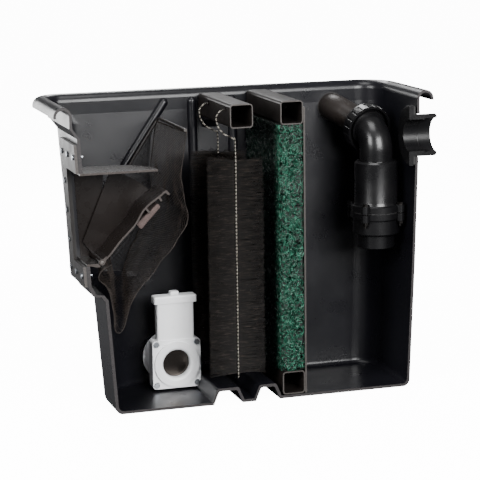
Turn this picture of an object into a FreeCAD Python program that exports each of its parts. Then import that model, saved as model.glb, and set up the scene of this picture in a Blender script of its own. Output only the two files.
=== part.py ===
"""Pond skimmer filter box, cut lengthwise on its middle plane as a display half.

Axes: +X runs from the inlet mouth to the overflow, +Z is up, and the cut plane faces -Y.
The origin is the centre of the bounding box's bottom face. Depths are counted from the
cut plane towards the back wall, so a depth of zero lies on the cut plane.
"""
import FreeCAD, Part
import math
import os
import Sketcher

Vector = FreeCAD.Vector
Rotation = FreeCAD.Rotation
UP = Vector(0, 0, 1)
ALONG = Vector(1, 0, 0)
BACKWARD = Vector(0, 1, 0)

# Driving dimensions in millimetres: alias, value.
SIZES = [
    # Whole box
    ("depth", 221.5), ("wall", 5), ("rim_top", 519.5), ("rim_foot", 484), ("rim_width", 30),
    ("rim_spring", 505), ("rim_tip", 502), ("rim_skin", 4.5), ("shelf", 5),
    ("rim_left", -303.5), ("rim_right", 297.5), ("rim_back", 191.5), ("rim_corner", 22),
    ("rim_corner_right", 41), ("flare_height", 468),
    # Outside of the tank's end walls and back wall
    ("base_left", -243), ("knee_left", -256), ("knee_height", 194), ("step_height", 203),
    ("upper_left", -284), ("upper_height", 220), ("top_left", -297), ("base_right", 285),
    ("middle_right", 295), ("middle_height", 230), ("top_right", 302.5), ("base_back", 171),
    ("top_back", 196.5), ("end_radius", 100), ("upper_radius", 46), ("right_radius", 46),
    ("base_fillet", 13),
    # Floor ridges, guide ribs
    ("ridge_height", 28), ("ridge_slope", 12), ("first_ridge", -78), ("first_ridge_width", 62),
    ("second_ridge", -3), ("second_ridge_width", 54), ("rib_radius", 8.5), ("guide_radius", 8),
    ("rib_one", -48), ("rib_two", 25), ("rib_three", 106),
    # Mouth
    ("mouth_half", 71), ("sill", 260), ("lintel", 411), ("plate_thick", 5), ("gasket_thick", 1.5),
    ("plate_half", 109), ("plate_low", 222), ("plate_high", 458), ("throat_skin", 3.5),
    ("visor_end", -162), ("visor_start", -228),
    # Weir door
    ("hinge_x", -260), ("hinge_z", 262), ("pin_radius", 2.5), ("pin_play", 0.08),
    ("wing_radius", 144), ("door_skin", 3), ("wing_face", 68), ("barrel_radius", 5.2),
    # Net
    ("rod_radius", 2.5), ("rod_clear", 0.6), ("net_skin", 2.5), ("net_top_x", -114), ("net_top_z", 473),
    ("net_back", 178), ("net_low_x", -218), ("net_low_z", 322),
    # Square tubes, brushes
    ("tube_side", 40), ("tube_skin", 2), ("tube_corner", 6), ("rack_left", -37), ("rack_low", 471),
    ("rack_length", 186), ("brush_x", -28), ("brush_radius", 49.5), ("brush_low", 48),
    ("brush_high", 421), ("brush_gap", 100.5), ("wire_radius", 2.2), ("hook_hole", 4),
    # Mat frame
    ("mat_left", 47), ("mat_right", 91.4), ("frame_left", 51), ("frame_low", 6.5),
    ("frame_high", 472.5), ("panel_thick", 3), ("panel_high", 501), ("mat_clear", 0.4),
    ("frame_back_low", 162), ("frame_back_high", 186),
    # Outlet pipe, elbow and check valve
    ("valve_x", 248), ("valve_depth", 66), ("elbow_radius", 28.6), ("elbow_skin", 3.6),
    ("pipe_radius", 24), ("pipe_skin", 2.6), ("nut_radius", 41.5), ("nut_length", 23),
    ("body_radius", 37.7), ("body_top", 393), ("joint_height", 304), ("flange_radius", 43),
    ("lower_radius", 41), ("lower_foot", 264), ("socket_radius", 32.2), ("socket_foot", 240),
    ("socket_bore", 25.5), ("lug_circle", 46), ("lug_radius", 7.5), ("chamber_radius", 34),
    ("flap_radius", 28.5), ("flap_thick", 3), ("flap_hinge", 29.6), ("flap_pin", 1.8),
    ("outlet_x", 211), ("outlet_z", 475), ("outlet_end", 210), ("first_bend", 165),
    ("second_x", 240), ("second_depth", 122), ("second_z", 452), ("union_reach", 20),
    ("elbow_z", 439.5), ("pipe_bend", 55), ("elbow_bend", 36), ("rest_width", 26),
    # Overflow bulkhead
    ("over_z", 442), ("over_bore", 27.5), ("over_sleeve", 36.2), ("over_flange", 52),
    ("over_end", 333.5), ("over_face", 283), ("over_flange_thick", 8), ("over_seal", 3.4),
    # Drain valve and its bulkhead
    ("drain_x", -110), ("drain_z", 52), ("drain_front", 98), ("drain_half", 43),
    ("drain_bore", 24.5), ("drain_boss", 44), ("drain_thick", 10), ("blade_room", 4.4),
    ("blade_thick", 2), ("blade_half", 27.5), ("bonnet_half", 33), ("bonnet_high", 160),
    ("cap_half", 38), ("cap_high", 173), ("grip_half", 7.5), ("grip_high", 179.5),
    ("stem_radius", 4), ("hub_radius", 31), ("bulkhead_radius", 45), ("bulkhead_neck", 30),
    ("drain_pad_in", 165.5), ("drain_pad_out", 176.5), ("drain_seal", 3.9),
]


class Size:
    """A length that knows its value and the spreadsheet expression that gives it."""

    def __init__(self, value, text):
        self.value = float(value)
        self.text = text

    def __add__(self, other):
        other = as_size(other)
        return Size(self.value + other.value, "(%s + %s)" % (self.text, other.text))

    def __radd__(self, other):
        return as_size(other) + self

    def __sub__(self, other):
        other = as_size(other)
        return Size(self.value - other.value, "(%s - %s)" % (self.text, other.text))

    def __rsub__(self, other):
        return as_size(other) - self

    def __mul__(self, other):
        other = as_size(other)
        return Size(self.value * other.value, "(%s * %s)" % (self.text, other.text))

    def __rmul__(self, other):
        return as_size(other) * self

    def __truediv__(self, other):
        other = as_size(other)
        return Size(self.value / other.value, "(%s / %s)" % (self.text, other.text))

    def __neg__(self):
        return 0 - self


def as_size(thing):
    if isinstance(thing, Size):
        return thing
    return Size(thing, "%r" % float(thing))


class Sheet:
    """The document's spreadsheet, whose aliases read as attributes."""

    def __init__(self, doc):
        self.sheet = doc.addObject("Spreadsheet::Sheet", "dims")
        self.values = {}
        for row, (alias, value) in enumerate(SIZES, start=1):
            self.sheet.set("A%d" % row, alias)
            self.sheet.set("B%d" % row, "%g" % value)
            self.sheet.setAlias("B%d" % row, alias)
            self.values[alias] = value
        doc.recompute()

    def __getattr__(self, alias):
        return Size(self.values[alias], "dims.%s" % alias)


doc = FreeCAD.newDocument("pond_skimmer_filter")
dims = Sheet(doc)
sub_parts = []


# ---------------------------------------------------------------- helpers

def at_depth(depth):
    """The row's Y for a depth behind the cut plane."""
    return as_size(depth) - dims.depth / 2


def bind(thing, prop, size):
    thing.setExpression(prop, as_size(size).text)


def place(thing, x=0, depth=0, z=0, rotation=None):
    """Puts an object at x, depth and z, with its place bound to the sheet."""
    x, y, z = as_size(x), at_depth(depth), as_size(z)
    base = Vector(x.value, y.value, z.value)
    thing.Placement = FreeCAD.Placement(base, rotation or Rotation())
    bind(thing, "Placement.Base.x", x)
    bind(thing, "Placement.Base.y", y)
    bind(thing, "Placement.Base.z", z)


def finish(thing, label):
    """Marks an object as one of the pieces that are written out."""
    thing.Label = label
    sub_parts.append(thing)
    return thing


def solid_piece(shape, label):
    """A piece whose shape is worked out with Part's own functions."""
    piece = doc.addObject("Part::Feature", label)
    own = shape.Placement
    piece.Shape = shape
    piece.Placement = FreeCAD.Placement(Vector(0, at_depth(0).value, 0), Rotation()).multiply(own)
    return finish(piece, label)


def new_body(label, x=0, depth=0, z=0, rotation=None):
    body = doc.addObject("PartDesign::Body", label)
    place(body, x, depth, z, rotation)
    return finish(body, label)


def new_sketch(body, plane, shift=0):
    """A sketch on one of the body's own planes, moved along the plane's normal."""
    sketch = body.newObject("Sketcher::SketchObject", body.Name + "_sketch")
    origin_plane = [item for item in body.Origin.OriginFeatures if item.Role == plane][0]
    sketch.AttachmentSupport = [(origin_plane, "")]
    sketch.MapMode = "FlatFace"
    bind(sketch, "AttachmentOffset.Base.z", shift)
    return sketch


def bind_point(sketch, line, end, point):
    across, up = as_size(point[0]), as_size(point[1])
    for kind, size in (("DistanceX", across), ("DistanceY", up)):
        index = sketch.addConstraint(Sketcher.Constraint(kind, -1, 1, line, end, size.value))
        sketch.setExpression("Constraints[%d]" % index, size.text)


def draw_outline(sketch, points):
    """A closed outline of straight lines with every corner bound to the sheet."""
    first = sketch.GeometryCount
    corners = [Vector(as_size(u).value, as_size(v).value, 0) for u, v in points]
    count = len(corners)
    for index in range(count):
        line = Part.LineSegment(corners[index], corners[(index + 1) % count])
        sketch.addGeometry(line, False)
    for index in range(count):
        after = first + (index + 1) % count
        sketch.addConstraint(Sketcher.Constraint("Coincident", first + index, 2, after, 1))
        bind_point(sketch, first + index, 1, points[index])


def draw_circle(sketch, centre, radius):
    index = sketch.GeometryCount
    middle = Vector(as_size(centre[0]).value, as_size(centre[1]).value, 0)
    sketch.addGeometry(Part.Circle(middle, UP, as_size(radius).value), False)
    bind_point(sketch, index, 3, centre)
    row = sketch.addConstraint(Sketcher.Constraint("Radius", index, as_size(radius).value))
    sketch.setExpression("Constraints[%d]" % row, as_size(radius).text)


def pad(body, sketch, length, backward=True):
    """Pads a sketch: sketches on the XZ plane grow towards the back wall."""
    feature = body.newObject("PartDesign::Pad", body.Name + "_pad")
    feature.Profile = sketch
    bind(feature, "Length", length)
    feature.Reversed = backward
    doc.recompute()
    return feature


def pocket(body, sketch, length, backward=True):
    """Cuts a sketch into the body, and makes sure that the cut took something away."""
    before = body.Shape.Volume
    feature = body.newObject("PartDesign::Pocket", body.Name + "_pocket")
    feature.Profile = sketch
    bind(feature, "Length", length)
    feature.Reversed = not backward
    doc.recompute()
    if body.Shape.Volume >= before:
        raise RuntimeError("the pocket in %s cuts nothing" % body.Label)
    return feature


def slab(label, points, start, length, x=0, z=0):
    """A piece with one outline in X and Z, from one depth to another."""
    body = new_body(label, x, start, z)
    sketch = new_sketch(body, "XZ_Plane")
    draw_outline(sketch, points)
    pad(body, sketch, length)
    return body


def revolved(label, points, x, depth, z, direction=UP, angle=360):
    """A turned piece: points are radius and distance along its axis."""
    body = new_body(label, x, depth, z, Rotation(UP, direction))
    sketch = new_sketch(body, "XZ_Plane")
    draw_outline(sketch, points)
    feature = body.newObject("PartDesign::Revolution", body.Name + "_turn")
    feature.Profile = sketch
    feature.ReferenceAxis = (sketch, ["V_Axis"])
    feature.Angle = angle
    doc.recompute()
    return body


def round_edges(body, radius, wanted):
    """Fillets the edges that a test picks by their middle point and direction."""
    tip = body.Tip
    names = []
    for number, edge in enumerate(body.Shape.Edges, start=1):
        middle = edge.valueAt((edge.FirstParameter + edge.LastParameter) / 2)
        if wanted(edge, middle):
            names.append("Edge%d" % number)
    feature = body.newObject("PartDesign::Fillet", body.Name + "_round")
    feature.Base = (tip, names)
    bind(feature, "Radius", radius)
    doc.recompute()
    return feature


def runs_along(edge, direction):
    """Whether a straight edge lies along a direction."""
    if edge.Curve.TypeId != "Part::GeomLine":
        return False
    return abs(edge.Curve.Direction.dot(direction)) > 0.999


def rounded_path(points, radius):
    """A wire of straight runs with an arc of one radius at each inner point."""
    edges = []
    start = points[0]
    for before, corner, after in zip(points, points[1:], points[2:]):
        incoming = (corner - before).normalize()
        outgoing = (after - corner).normalize()
        turn = incoming.getAngle(outgoing)
        reach = radius * math.tan(turn / 2)
        enter = corner - incoming * reach
        leave = corner + outgoing * reach
        inward = (outgoing - incoming).normalize()
        middle = corner + inward * (reach / math.sin(turn / 2) - radius)
        edges.append(Part.LineSegment(start, enter).toShape())
        edges.append(Part.Arc(enter, middle, leave).toShape())
        start = leave
    edges.append(Part.LineSegment(start, points[-1]).toShape())
    return Part.Wire(edges)


def swept(path, radius):
    """A round bar along a path."""
    first = path.Edges[0]
    direction = first.tangentAt(first.FirstParameter)
    ring = Part.Wire(Part.Circle(first.valueAt(first.FirstParameter), direction, radius).toShape())
    return path.makePipeShell([ring], True, True)


def hexagons(across, thick, spots, direction):
    """Hexagon heads or nuts, one solid at each spot, as one group."""
    solids = []
    for spot in spots:
        corners = []
        for turn in range(7):
            angle = math.radians(60 * turn)
            corners.append(Vector(math.cos(angle), math.sin(angle), 0) * (across / 1.732))
        prism = Part.Face(Part.makePolygon(corners)).extrude(UP * thick)
        prism.Placement = FreeCAD.Placement(spot, Rotation(UP, direction))
        solids.append(prism)
    return solids


# ---------------------------------------------------------------- tank shell

def plan_outline(height, left, right, back, left_radius, right_radius, near=0.0):
    """The tank's outline at one height, from the cut plane round its two back corners."""
    diagonal = 1 - math.sqrt(0.5)
    left_arc = Part.Arc(
        Vector(left, back - left_radius, height),
        Vector(left + left_radius * diagonal, back - left_radius * diagonal, height),
        Vector(left + left_radius, back, height))
    right_arc = Part.Arc(
        Vector(right - right_radius, back, height),
        Vector(right - right_radius * diagonal, back - right_radius * diagonal, height),
        Vector(right, back - right_radius, height))
    near_left = Vector(left, near, height)
    near_right = Vector(right, near, height)
    edges = [
        Part.LineSegment(near_left, left_arc.StartPoint), left_arc,
        Part.LineSegment(left_arc.EndPoint, right_arc.StartPoint), right_arc,
        Part.LineSegment(right_arc.EndPoint, near_right),
        Part.LineSegment(near_right, near_left)]
    return Part.Wire([edge.toShape() for edge in edges])


def back_at(height):
    """Outside depth of the tapered back wall at a height."""
    share = height / dims.rim_foot.value
    return dims.base_back.value + share * (dims.top_back.value - dims.base_back.value)


def left_at(height):
    """Outside of the left end wall above its step."""
    low, high = dims.upper_height.value, dims.rim_foot.value
    share = (height - low) / (high - low)
    return dims.upper_left.value + share * (dims.top_left.value - dims.upper_left.value)


def right_at(height):
    """Outside of the right end wall, which has two tapers."""
    middle = dims.middle_height.value
    if height < middle:
        share = height / middle
        return dims.base_right.value + share * (dims.middle_right.value - dims.base_right.value)
    share = (height - middle) / (dims.rim_foot.value - middle)
    return dims.middle_right.value + share * (dims.top_right.value - dims.middle_right.value)


def tank_solid(inset, low, near, fillet):
    """The tank's outer form, or its hollow when inset by the wall."""
    end, upper, right = (
        dims.end_radius.value, dims.upper_radius.value, dims.right_radius.value)
    drop = inset * 0.6
    stations = [
        (low, dims.base_left.value, end),
        (dims.knee_height.value + drop, dims.knee_left.value, end),
        (dims.step_height.value + drop, dims.knee_left.value - 7, end * 0.95),
        (dims.step_height.value + drop + 2, dims.upper_left.value + 8, end * 0.8),
        (dims.upper_height.value + drop, dims.upper_left.value, upper + 14),
        (dims.flare_height.value, left_at(dims.flare_height.value), upper),
        (dims.rim_foot.value, dims.rim_left.value - dims.rim_skin.value, upper)]
    wires = []
    for height, left, radius in stations:
        wires.append(plan_outline(
            height, left + inset, right_at(height) - inset, back_at(height) - inset,
            radius - inset, right - inset, near))
    form = Part.makeLoft(wires, True, True)
    edges = []
    for edge in form.Edges:
        middle = edge.valueAt((edge.FirstParameter + edge.LastParameter) / 2)
        if abs(middle.z - low) < 0.01 and middle.y > near + 0.5:
            edges.append(edge)
    return form.makeFillet(fillet, edges)


def rim_band():
    """The rolled rim: an arch section swept round the three outer sides."""
    left, right, back = dims.rim_left.value, dims.rim_right.value, dims.rim_back.value
    corners = [Vector(left, 0, 0), Vector(left, back, 0), Vector(right, back, 0), Vector(right, 0, 0)]
    path = uneven_path(corners, [dims.rim_corner.value, dims.rim_corner_right.value])
    skin, width = dims.rim_skin.value, dims.rim_width.value
    foot, spring = dims.rim_foot.value, dims.rim_spring.value
    top, tip = dims.rim_top.value, dims.rim_tip.value

    def spot(out, height):
        return Vector(left - out, 0, height)

    outer_arch = Part.Arc(spot(0, spring), spot(width * 0.47, top), spot(width, tip))
    inner_arch = Part.Arc(
        spot(width - skin, tip), spot(width * 0.47, top - skin), spot(skin, spring))
    section = Part.Wire([
        Part.LineSegment(spot(0, foot), spot(0, spring)).toShape(), outer_arch.toShape(),
        Part.LineSegment(spot(width, tip), spot(width - skin, tip)).toShape(),
        inner_arch.toShape(), Part.LineSegment(spot(skin, spring), spot(skin, foot)).toShape(),
        Part.LineSegment(spot(skin, foot), spot(0, foot)).toShape()])
    return path.makePipeShell([section], True, False)


def uneven_path(points, radii):
    """A wire of straight runs whose corners have different radii."""
    edges = []
    start = points[0]
    for before, corner, after, radius in zip(points, points[1:], points[2:], radii):
        incoming = (corner - before).normalize()
        outgoing = (after - corner).normalize()
        enter = corner - incoming * radius
        leave = corner + outgoing * radius
        middle = corner + (outgoing - incoming) * (radius * (1 - math.sqrt(0.5)))
        edges.append(Part.LineSegment(start, enter).toShape())
        edges.append(Part.Arc(enter, middle, leave).toShape())
        start = leave
    edges.append(Part.LineSegment(start, points[-1]).toShape())
    return Part.Wire(edges)


def rim_shelf():
    """The flat corner pieces that join the wall's top to the foot of the rim."""
    skin = dims.rim_skin.value
    outline = plan_outline(
        dims.rim_foot.value, dims.rim_left.value - skin, dims.rim_right.value + skin,
        dims.rim_back.value + skin, dims.rim_corner.value + skin,
        dims.rim_corner_right.value + skin)
    plate = Part.Face(outline).extrude(UP * dims.shelf.value)
    opening = plan_outline(
        dims.rim_foot.value - 1, dims.rim_left.value - dims.rim_skin.value + dims.wall.value,
        right_at(dims.rim_foot.value) - dims.wall.value,
        back_at(dims.rim_foot.value) - dims.wall.value,
        dims.upper_radius.value - dims.wall.value, dims.right_radius.value - dims.wall.value, -1)
    return plate.cut(Part.Face(opening).extrude(UP * (dims.shelf.value + 2)))


def ridge(start, width, drop):
    """One corrugation across the floor, as a solid whose sides slope."""
    slope, height = dims.ridge_slope.value, dims.ridge_height.value - drop
    corners = [
        Vector(start + drop, -2, -1), Vector(start + slope + drop * 0.6, -2, height),
        Vector(start + width - slope - drop * 0.6, -2, height),
        Vector(start + width - drop, -2, -1), Vector(start + drop, -2, -1)]
    prism = Part.Face(Part.makePolygon(corners)).extrude(BACKWARD * 260)
    upper = [edge for edge in prism.Edges if edge.BoundBox.ZMin > height - 0.1
             and edge.BoundBox.YLength > 100]
    return prism.makeFillet(5, upper)


def valve_recess(grow):
    """Room in the first ridge's side for the drain valve's corner."""
    front, back = dims.drain_front.value - 4, dims.drain_front.value + 37
    right = dims.drain_x.value + dims.drain_half.value + 0.6
    return Part.makeBox(
        40 + grow, back - front + 2 * grow, 80, Vector(right - 40, front - grow, -2))


def guide_ribs():
    """Upright half-round ribs and the slanted net guide on the back wall."""
    low, high = 10.0, dims.rim_spring.value - 8
    ribs = []
    for x in (dims.rib_one.value, dims.rib_two.value, dims.rib_three.value):
        foot = Vector(x, back_at(low) - dims.wall.value, low)
        head = Vector(x, back_at(high) - dims.wall.value, high)
        rod = Part.makeCylinder(dims.rib_radius.value, (head - foot).Length, foot, head - foot)
        ribs.append(rod.fuse(Part.makeSphere(dims.rib_radius.value, head)))
    foot = Vector(-184, back_at(376) - dims.wall.value, 376)
    head = Vector(-99, back_at(high) - dims.wall.value, high)
    ribs.append(Part.makeCylinder(dims.guide_radius.value, (head - foot).Length, foot, head - foot))
    ribs.append(Part.makeSphere(dims.guide_radius.value, head))
    return ribs


def rack_rest():
    """Ledge on the back wall under the far end of the brush rack's tube."""
    half = dims.rest_width.value / 2
    middle = dims.rack_left.value + dims.tube_side.value / 2
    top = dims.rack_low.value - 0.3
    back = back_at(top)
    corners = [
        Vector(middle - half, back - 2, top - 26), Vector(middle - half, back - 17, top - 6),
        Vector(middle - half, back - 17, top), Vector(middle - half, back - 2, top)]
    return Part.Face(Part.makePolygon(corners + corners[:1])).extrude(ALONG * 2 * half)


def wall_openings():
    """The mouth and the round holes that the fittings pass through."""
    mouth = Part.makeBox(
        60, dims.mouth_half.value + 1, dims.lintel.value - dims.sill.value + 4,
        Vector(-320, -1, dims.sill.value - 4))
    overflow = Part.makeCylinder(
        dims.over_sleeve.value + 1.2, 80, Vector(270, 0, dims.over_z.value), ALONG)
    drain = Part.makeCylinder(
        dims.bulkhead_neck.value + 0.6, 60,
        Vector(dims.drain_x.value, 140, dims.drain_z.value), BACKWARD)
    end = outlet_points()[0]
    outlet = Part.makeCylinder(dims.pipe_radius.value + 2, 30, end - BACKWARD * 28, BACKWARD)
    return [mouth, overflow, drain, outlet]


def drain_pad():
    """Flat boss on both faces of the back wall where the drain fitting clamps."""
    start = Vector(dims.drain_x.value, dims.drain_pad_in.value, dims.drain_z.value)
    return Part.makeCylinder(
        dims.bulkhead_radius.value + 2, dims.drain_pad_out.value - dims.drain_pad_in.value, start,
        BACKWARD)


def make_tank_shell():
    outer = tank_solid(0, 0.0, 0.0, dims.base_fillet.value)
    hollow = tank_solid(dims.wall.value, dims.wall.value, -1.0, dims.base_fillet.value - 4)
    shell = outer.cut(hollow).fuse([rim_shelf(), rim_band()])
    additions = [drain_pad(), rack_rest()]
    cuts = []
    for start, width in (
            (dims.first_ridge.value, dims.first_ridge_width.value),
            (dims.second_ridge.value, dims.second_ridge_width.value)):
        additions.append(ridge(start, width, 0).common(outer).cut(valve_recess(0)))
        cuts.append(ridge(start, width, dims.wall.value).cut(valve_recess(dims.wall.value)))
    for rib in guide_ribs():
        additions.append(rib.common(outer.fuse(rim_room())))
    shell = shell.fuse(additions).cut(cuts + wall_openings())
    shell = shell.removeSplitter()
    return solid_piece(shell, "tank_shell")


def rim_room():
    """The space inside the rim above the wall, where the ribs may end."""
    outline = plan_outline(
        dims.rim_foot.value - 1, dims.rim_left.value, dims.rim_right.value,
        dims.rim_back.value + 1, dims.rim_corner.value, dims.rim_corner_right.value)
    return Part.Face(outline).extrude(UP * 22)


# ---------------------------------------------------------------- mouth

def sloped_plate(label, inner, thick):
    """A flat half frame round the mouth, leaning with the end wall."""
    lean = (dims.top_left - dims.upper_left) / (dims.rim_foot - dims.upper_height)

    def face(height, offset):
        return (dims.upper_left + lean * (height - dims.upper_height) - offset, height)

    outer = inner + thick
    body = slab(label, [
        face(dims.plate_low, inner), face(dims.plate_high, inner),
        face(dims.plate_high, outer), face(dims.plate_low, outer)], 0, dims.plate_half)
    opening = new_sketch(body, "XZ_Plane", 1)
    draw_outline(opening, [
        (-320, dims.sill - 4), (-260, dims.sill - 4), (-260, dims.lintel), (-320, dims.lintel)])
    pocket(body, opening, dims.mouth_half + 1)
    return body


def make_face_plate():
    body = sloped_plate("mouth_face_plate", dims.gasket_thick, dims.plate_thick)
    round_edges(body, 4, lambda edge, middle: runs_along(edge, ALONG)
                and middle.y > at_depth(dims.plate_half).value - 1)
    return body


def screw_spots():
    """Depth and height of each face plate screw."""
    return [(10, 437), (52, 437), (94, 437), (91, 388), (91, 338), (91, 288), (94, 240), (52, 240),
            (10, 240)]


def make_face_plate_screws():
    """Pan-head screws through the plate, the gasket and the wall."""
    solids = []
    cover = dims.plate_thick.value + dims.gasket_thick.value
    for depth, height in screw_spots():
        outside = Vector(left_at(height) - cover, depth, height)
        shank = Part.makeCylinder(2.2, 17, outside - ALONG, ALONG)
        head = Part.makeCylinder(4.6, 2.6, outside - ALONG * 2.6, ALONG)
        solids.append(shank.fuse(head))
    return solid_piece(Part.makeCompound(solids), "face_plate_screws")


def make_throat():
    """Visor, far cheek and sill behind the mouth, moulded as one."""
    skin, half = dims.throat_skin.value, dims.mouth_half.value
    left = left_at(dims.lintel.value) + 0.5
    start, end = dims.visor_start.value, dims.visor_end.value
    far = Vector(start, half - 0.3, 0)
    curve = Part.BSplineCurve()
    curve.interpolate([
        Vector(start + (end - start) * math.cos(turn), far.y * math.sin(turn), 0)
        for turn in [math.radians(15 * step) for step in range(7)]])
    outline = Part.Wire([
        curve.toShape(), Part.LineSegment(far, Vector(left, far.y, 0)).toShape(),
        Part.LineSegment(Vector(left, far.y, 0), Vector(left, 0, 0)).toShape(),
        Part.LineSegment(Vector(left, 0, 0), Vector(end, 0, 0)).toShape()])
    visor = Part.Face(outline).extrude(UP * skin)
    visor.translate(UP * (dims.lintel.value - skin - 0.2))
    sill_left = left_at(dims.sill.value) + 0.5
    hinge_x, hinge_z = dims.hinge_x.value, dims.hinge_z.value
    sill = slab_shape([
        (sill_left, dims.sill.value - 3.6), (sill_left + 7, dims.sill.value - 3.6),
        (hinge_x - 9, hinge_z - 8), (hinge_x - 3, hinge_z - 8), (hinge_x - 3, hinge_z - 5.6),
        (hinge_x - 7, hinge_z - 2), (sill_left, dims.sill.value)],
        0, half - 0.3)
    inside = dims.wall.value + 0.6
    roof = dims.lintel.value - skin - 0.2
    cheek = slab_shape([
        (left_at(roof) + inside, roof), (left_at(dims.sill.value) + inside, dims.sill.value - 3.6),
        (hinge_x + 6, hinge_z - 8), (hinge_x + 10, hinge_z + 6), (start - 9, roof)],
        half, skin)
    ledge = slab_shape([
        (left_at(roof) + inside, roof), (start - 9, roof), (start - 9, roof + skin),
        (left_at(roof) + inside, roof + skin)], half - 1, skin + 1)
    foot = slab_shape([
        (hinge_x - 20, dims.sill.value - 3), (hinge_x - 9, hinge_z - 8), (hinge_x - 3, hinge_z - 8),
        (hinge_x - 7, hinge_z - 4)], half - 1, skin)
    throat = visor.fuse([sill, cheek, ledge, foot]).cut(hinge_room())
    return solid_piece(throat.removeSplitter(), "mouth_throat")


def slab_shape(points, start, length):
    """A solid with one outline in X and Z, from one depth to another."""
    corners = [Vector(x, start, z) for x, z in points + points[:1]]
    return Part.Face(Part.makePolygon(corners)).extrude(BACKWARD * length)


def hinge_room():
    """Clear space round the weir door's hinge barrel."""
    corner = Vector(dims.hinge_x.value, -1, dims.hinge_z.value)
    reach = dims.barrel_radius.value + 0.5
    return Part.makeCylinder(reach, dims.mouth_half.value + 0.9, corner, BACKWARD)


def door_line():
    """Side view of the weir door's underside, from the hinge to the tip."""
    line = Part.BSplineCurve()
    points = [(-257, 266), (-247, 275), (-232, 293), (-214, 311), (-200, 327), (-191, 342),
              (-184, 350), (-163, 365), (-152, 374)]
    line.interpolate([Vector(x, 0, z) for x, z in points])
    return line.toShape()


def make_weir_door():
    """A curved door with a fan-shaped wing at its far side and a hinge barrel."""
    face, skin = dims.wing_face.value, dims.door_skin.value
    centre = Vector(dims.hinge_x.value, 0, dims.hinge_z.value)
    line = door_line()
    ribbon = line.extrude(Vector(1.9, 0, -2.3))
    sheet = ribbon.extrude(BACKWARD * face)
    lip = slab_shape([
        (-155, 371.9), (-150.5, 370.6), (-144.5, 366.5), (-142, 368.5), (-148.5, 375.5)], 0, face)
    ribs = [slab_shape([(-186, 347), (-178.5, 337.5), (-176, 339.5), (-183.5, 349)], 0, face),
            slab_shape([(-163, 364), (-158.4, 356.5), (-155.6, 358), (-159.5, 366)], 0, face)]
    wing = wing_shape(centre, face, skin)
    barrel = Part.makeCylinder(dims.barrel_radius.value, face - 0.5, centre, BACKWARD)
    web = slab_shape([(-259, 258), (-254, 262), (-252, 272), (-258, 267.5)], 0, face)
    bore = Part.makeCylinder(
        dims.pin_radius.value + dims.pin_play.value, face + 4, centre - BACKWARD * 2, BACKWARD)
    door = sheet.fuse([lip, wing, barrel, web] + ribs).cut(bore)
    return solid_piece(door.removeSplitter(), "weir_door")


def wing_shape(centre, face, skin):
    """The fan that closes the door's far side: an arc about the hinge and its chords."""
    radius = dims.wing_radius.value
    high, low = math.radians(77), math.radians(47)

    def rim_point(angle):
        return centre + Vector(math.cos(angle), 0, math.sin(angle)) * radius

    arc = Part.Arc(rim_point(high), rim_point((high + low) / 2), rim_point(low)).toShape()
    corner = Vector(-277, 0, 286)
    inner = [rim_point(low), Vector(-184, 0, 349), Vector(-200, 0, 326), Vector(-232, 0, 291.5),
             Vector(-256, 0, 265), centre, corner, rim_point(high)]
    edges = [arc]
    for first, second in zip(inner, inner[1:]):
        edges.append(Part.LineSegment(first, second).toShape())
    wing = Part.Face(Part.Wire(edges)).extrude(BACKWARD * skin)
    wing.translate(BACKWARD * (face - skin))
    return wing


def make_weir_float():
    body = slab("weir_float", [
        (-162.5, 353.5), (-157, 347), (-191, 311), (-200, 320)], 4, dims.wing_face - 12)
    round_edges(body, 1.5, lambda edge, middle: runs_along(edge, BACKWARD))
    return body


def make_hinge_pin():
    body = revolved("weir_hinge_pin", [
        (0, 0), (dims.pin_radius, 0), (dims.pin_radius, dims.mouth_half + 4),
        (0, dims.mouth_half + 4)], dims.hinge_x, 0, dims.hinge_z, BACKWARD)
    return body


# ---------------------------------------------------------------- net

def net_frame_path():
    """The rod's middle line: across the top, down the far guide, back along the bottom."""
    top_x, top_z = dims.net_top_x.value, dims.net_top_z.value
    low_x, low_z = dims.net_low_x.value, dims.net_low_z.value
    back = dims.net_back.value - 6
    points = [Vector(top_x, 0, top_z), Vector(top_x, back, top_z),
              Vector(low_x, back - 5, low_z), Vector(low_x, 92, low_z)]
    return rounded_path(points, 9)


def make_net_frame():
    return solid_piece(swept(net_frame_path(), dims.rod_radius.value), "net_frame")


def bag_outline(depth, inset, reach):
    """The bag's side outline at one depth; its far end is drawn in and up."""
    share = depth / dims.net_back.value
    near = [(-111, 471), (-116, 440), (-121, 400), (-118, 365), (-111, 334), (-120, 302),
            (-152, 262), (-184, 224), (-212, 190), (-227, 146), (-241, 144), (-246, 190),
            (-258, 216), (-268, 232), (-262, 247), (-236, 262)]
    far = [(-116, 469), (-121, 440), (-126, 402), (-126, 366), (-125, 336), (-132, 306),
           (-150, 274), (-166, 246), (-178, 222), (-186, 200), (-198, 202), (-206, 224),
           (-216, 246), (-224, 264), (-226, 284), (-220, 312)]
    middle_x = -170
    middle_z = 300
    points = []
    for (near_x, near_z), (far_x, far_z) in zip(near, far):
        x = near_x + share * (far_x - near_x)
        z = near_z + share * (far_z - near_z)
        away = Vector(x - middle_x, 0, z - middle_z).normalize()
        points.append(Vector(x, depth, z) - away * inset)
    points[0] = points[0] + Vector(-0.3, 0, 1) * reach
    points[-1] = points[-1] + Vector(-1, 0, 0.4) * reach
    return Part.makePolygon(points + points[:1])


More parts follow.
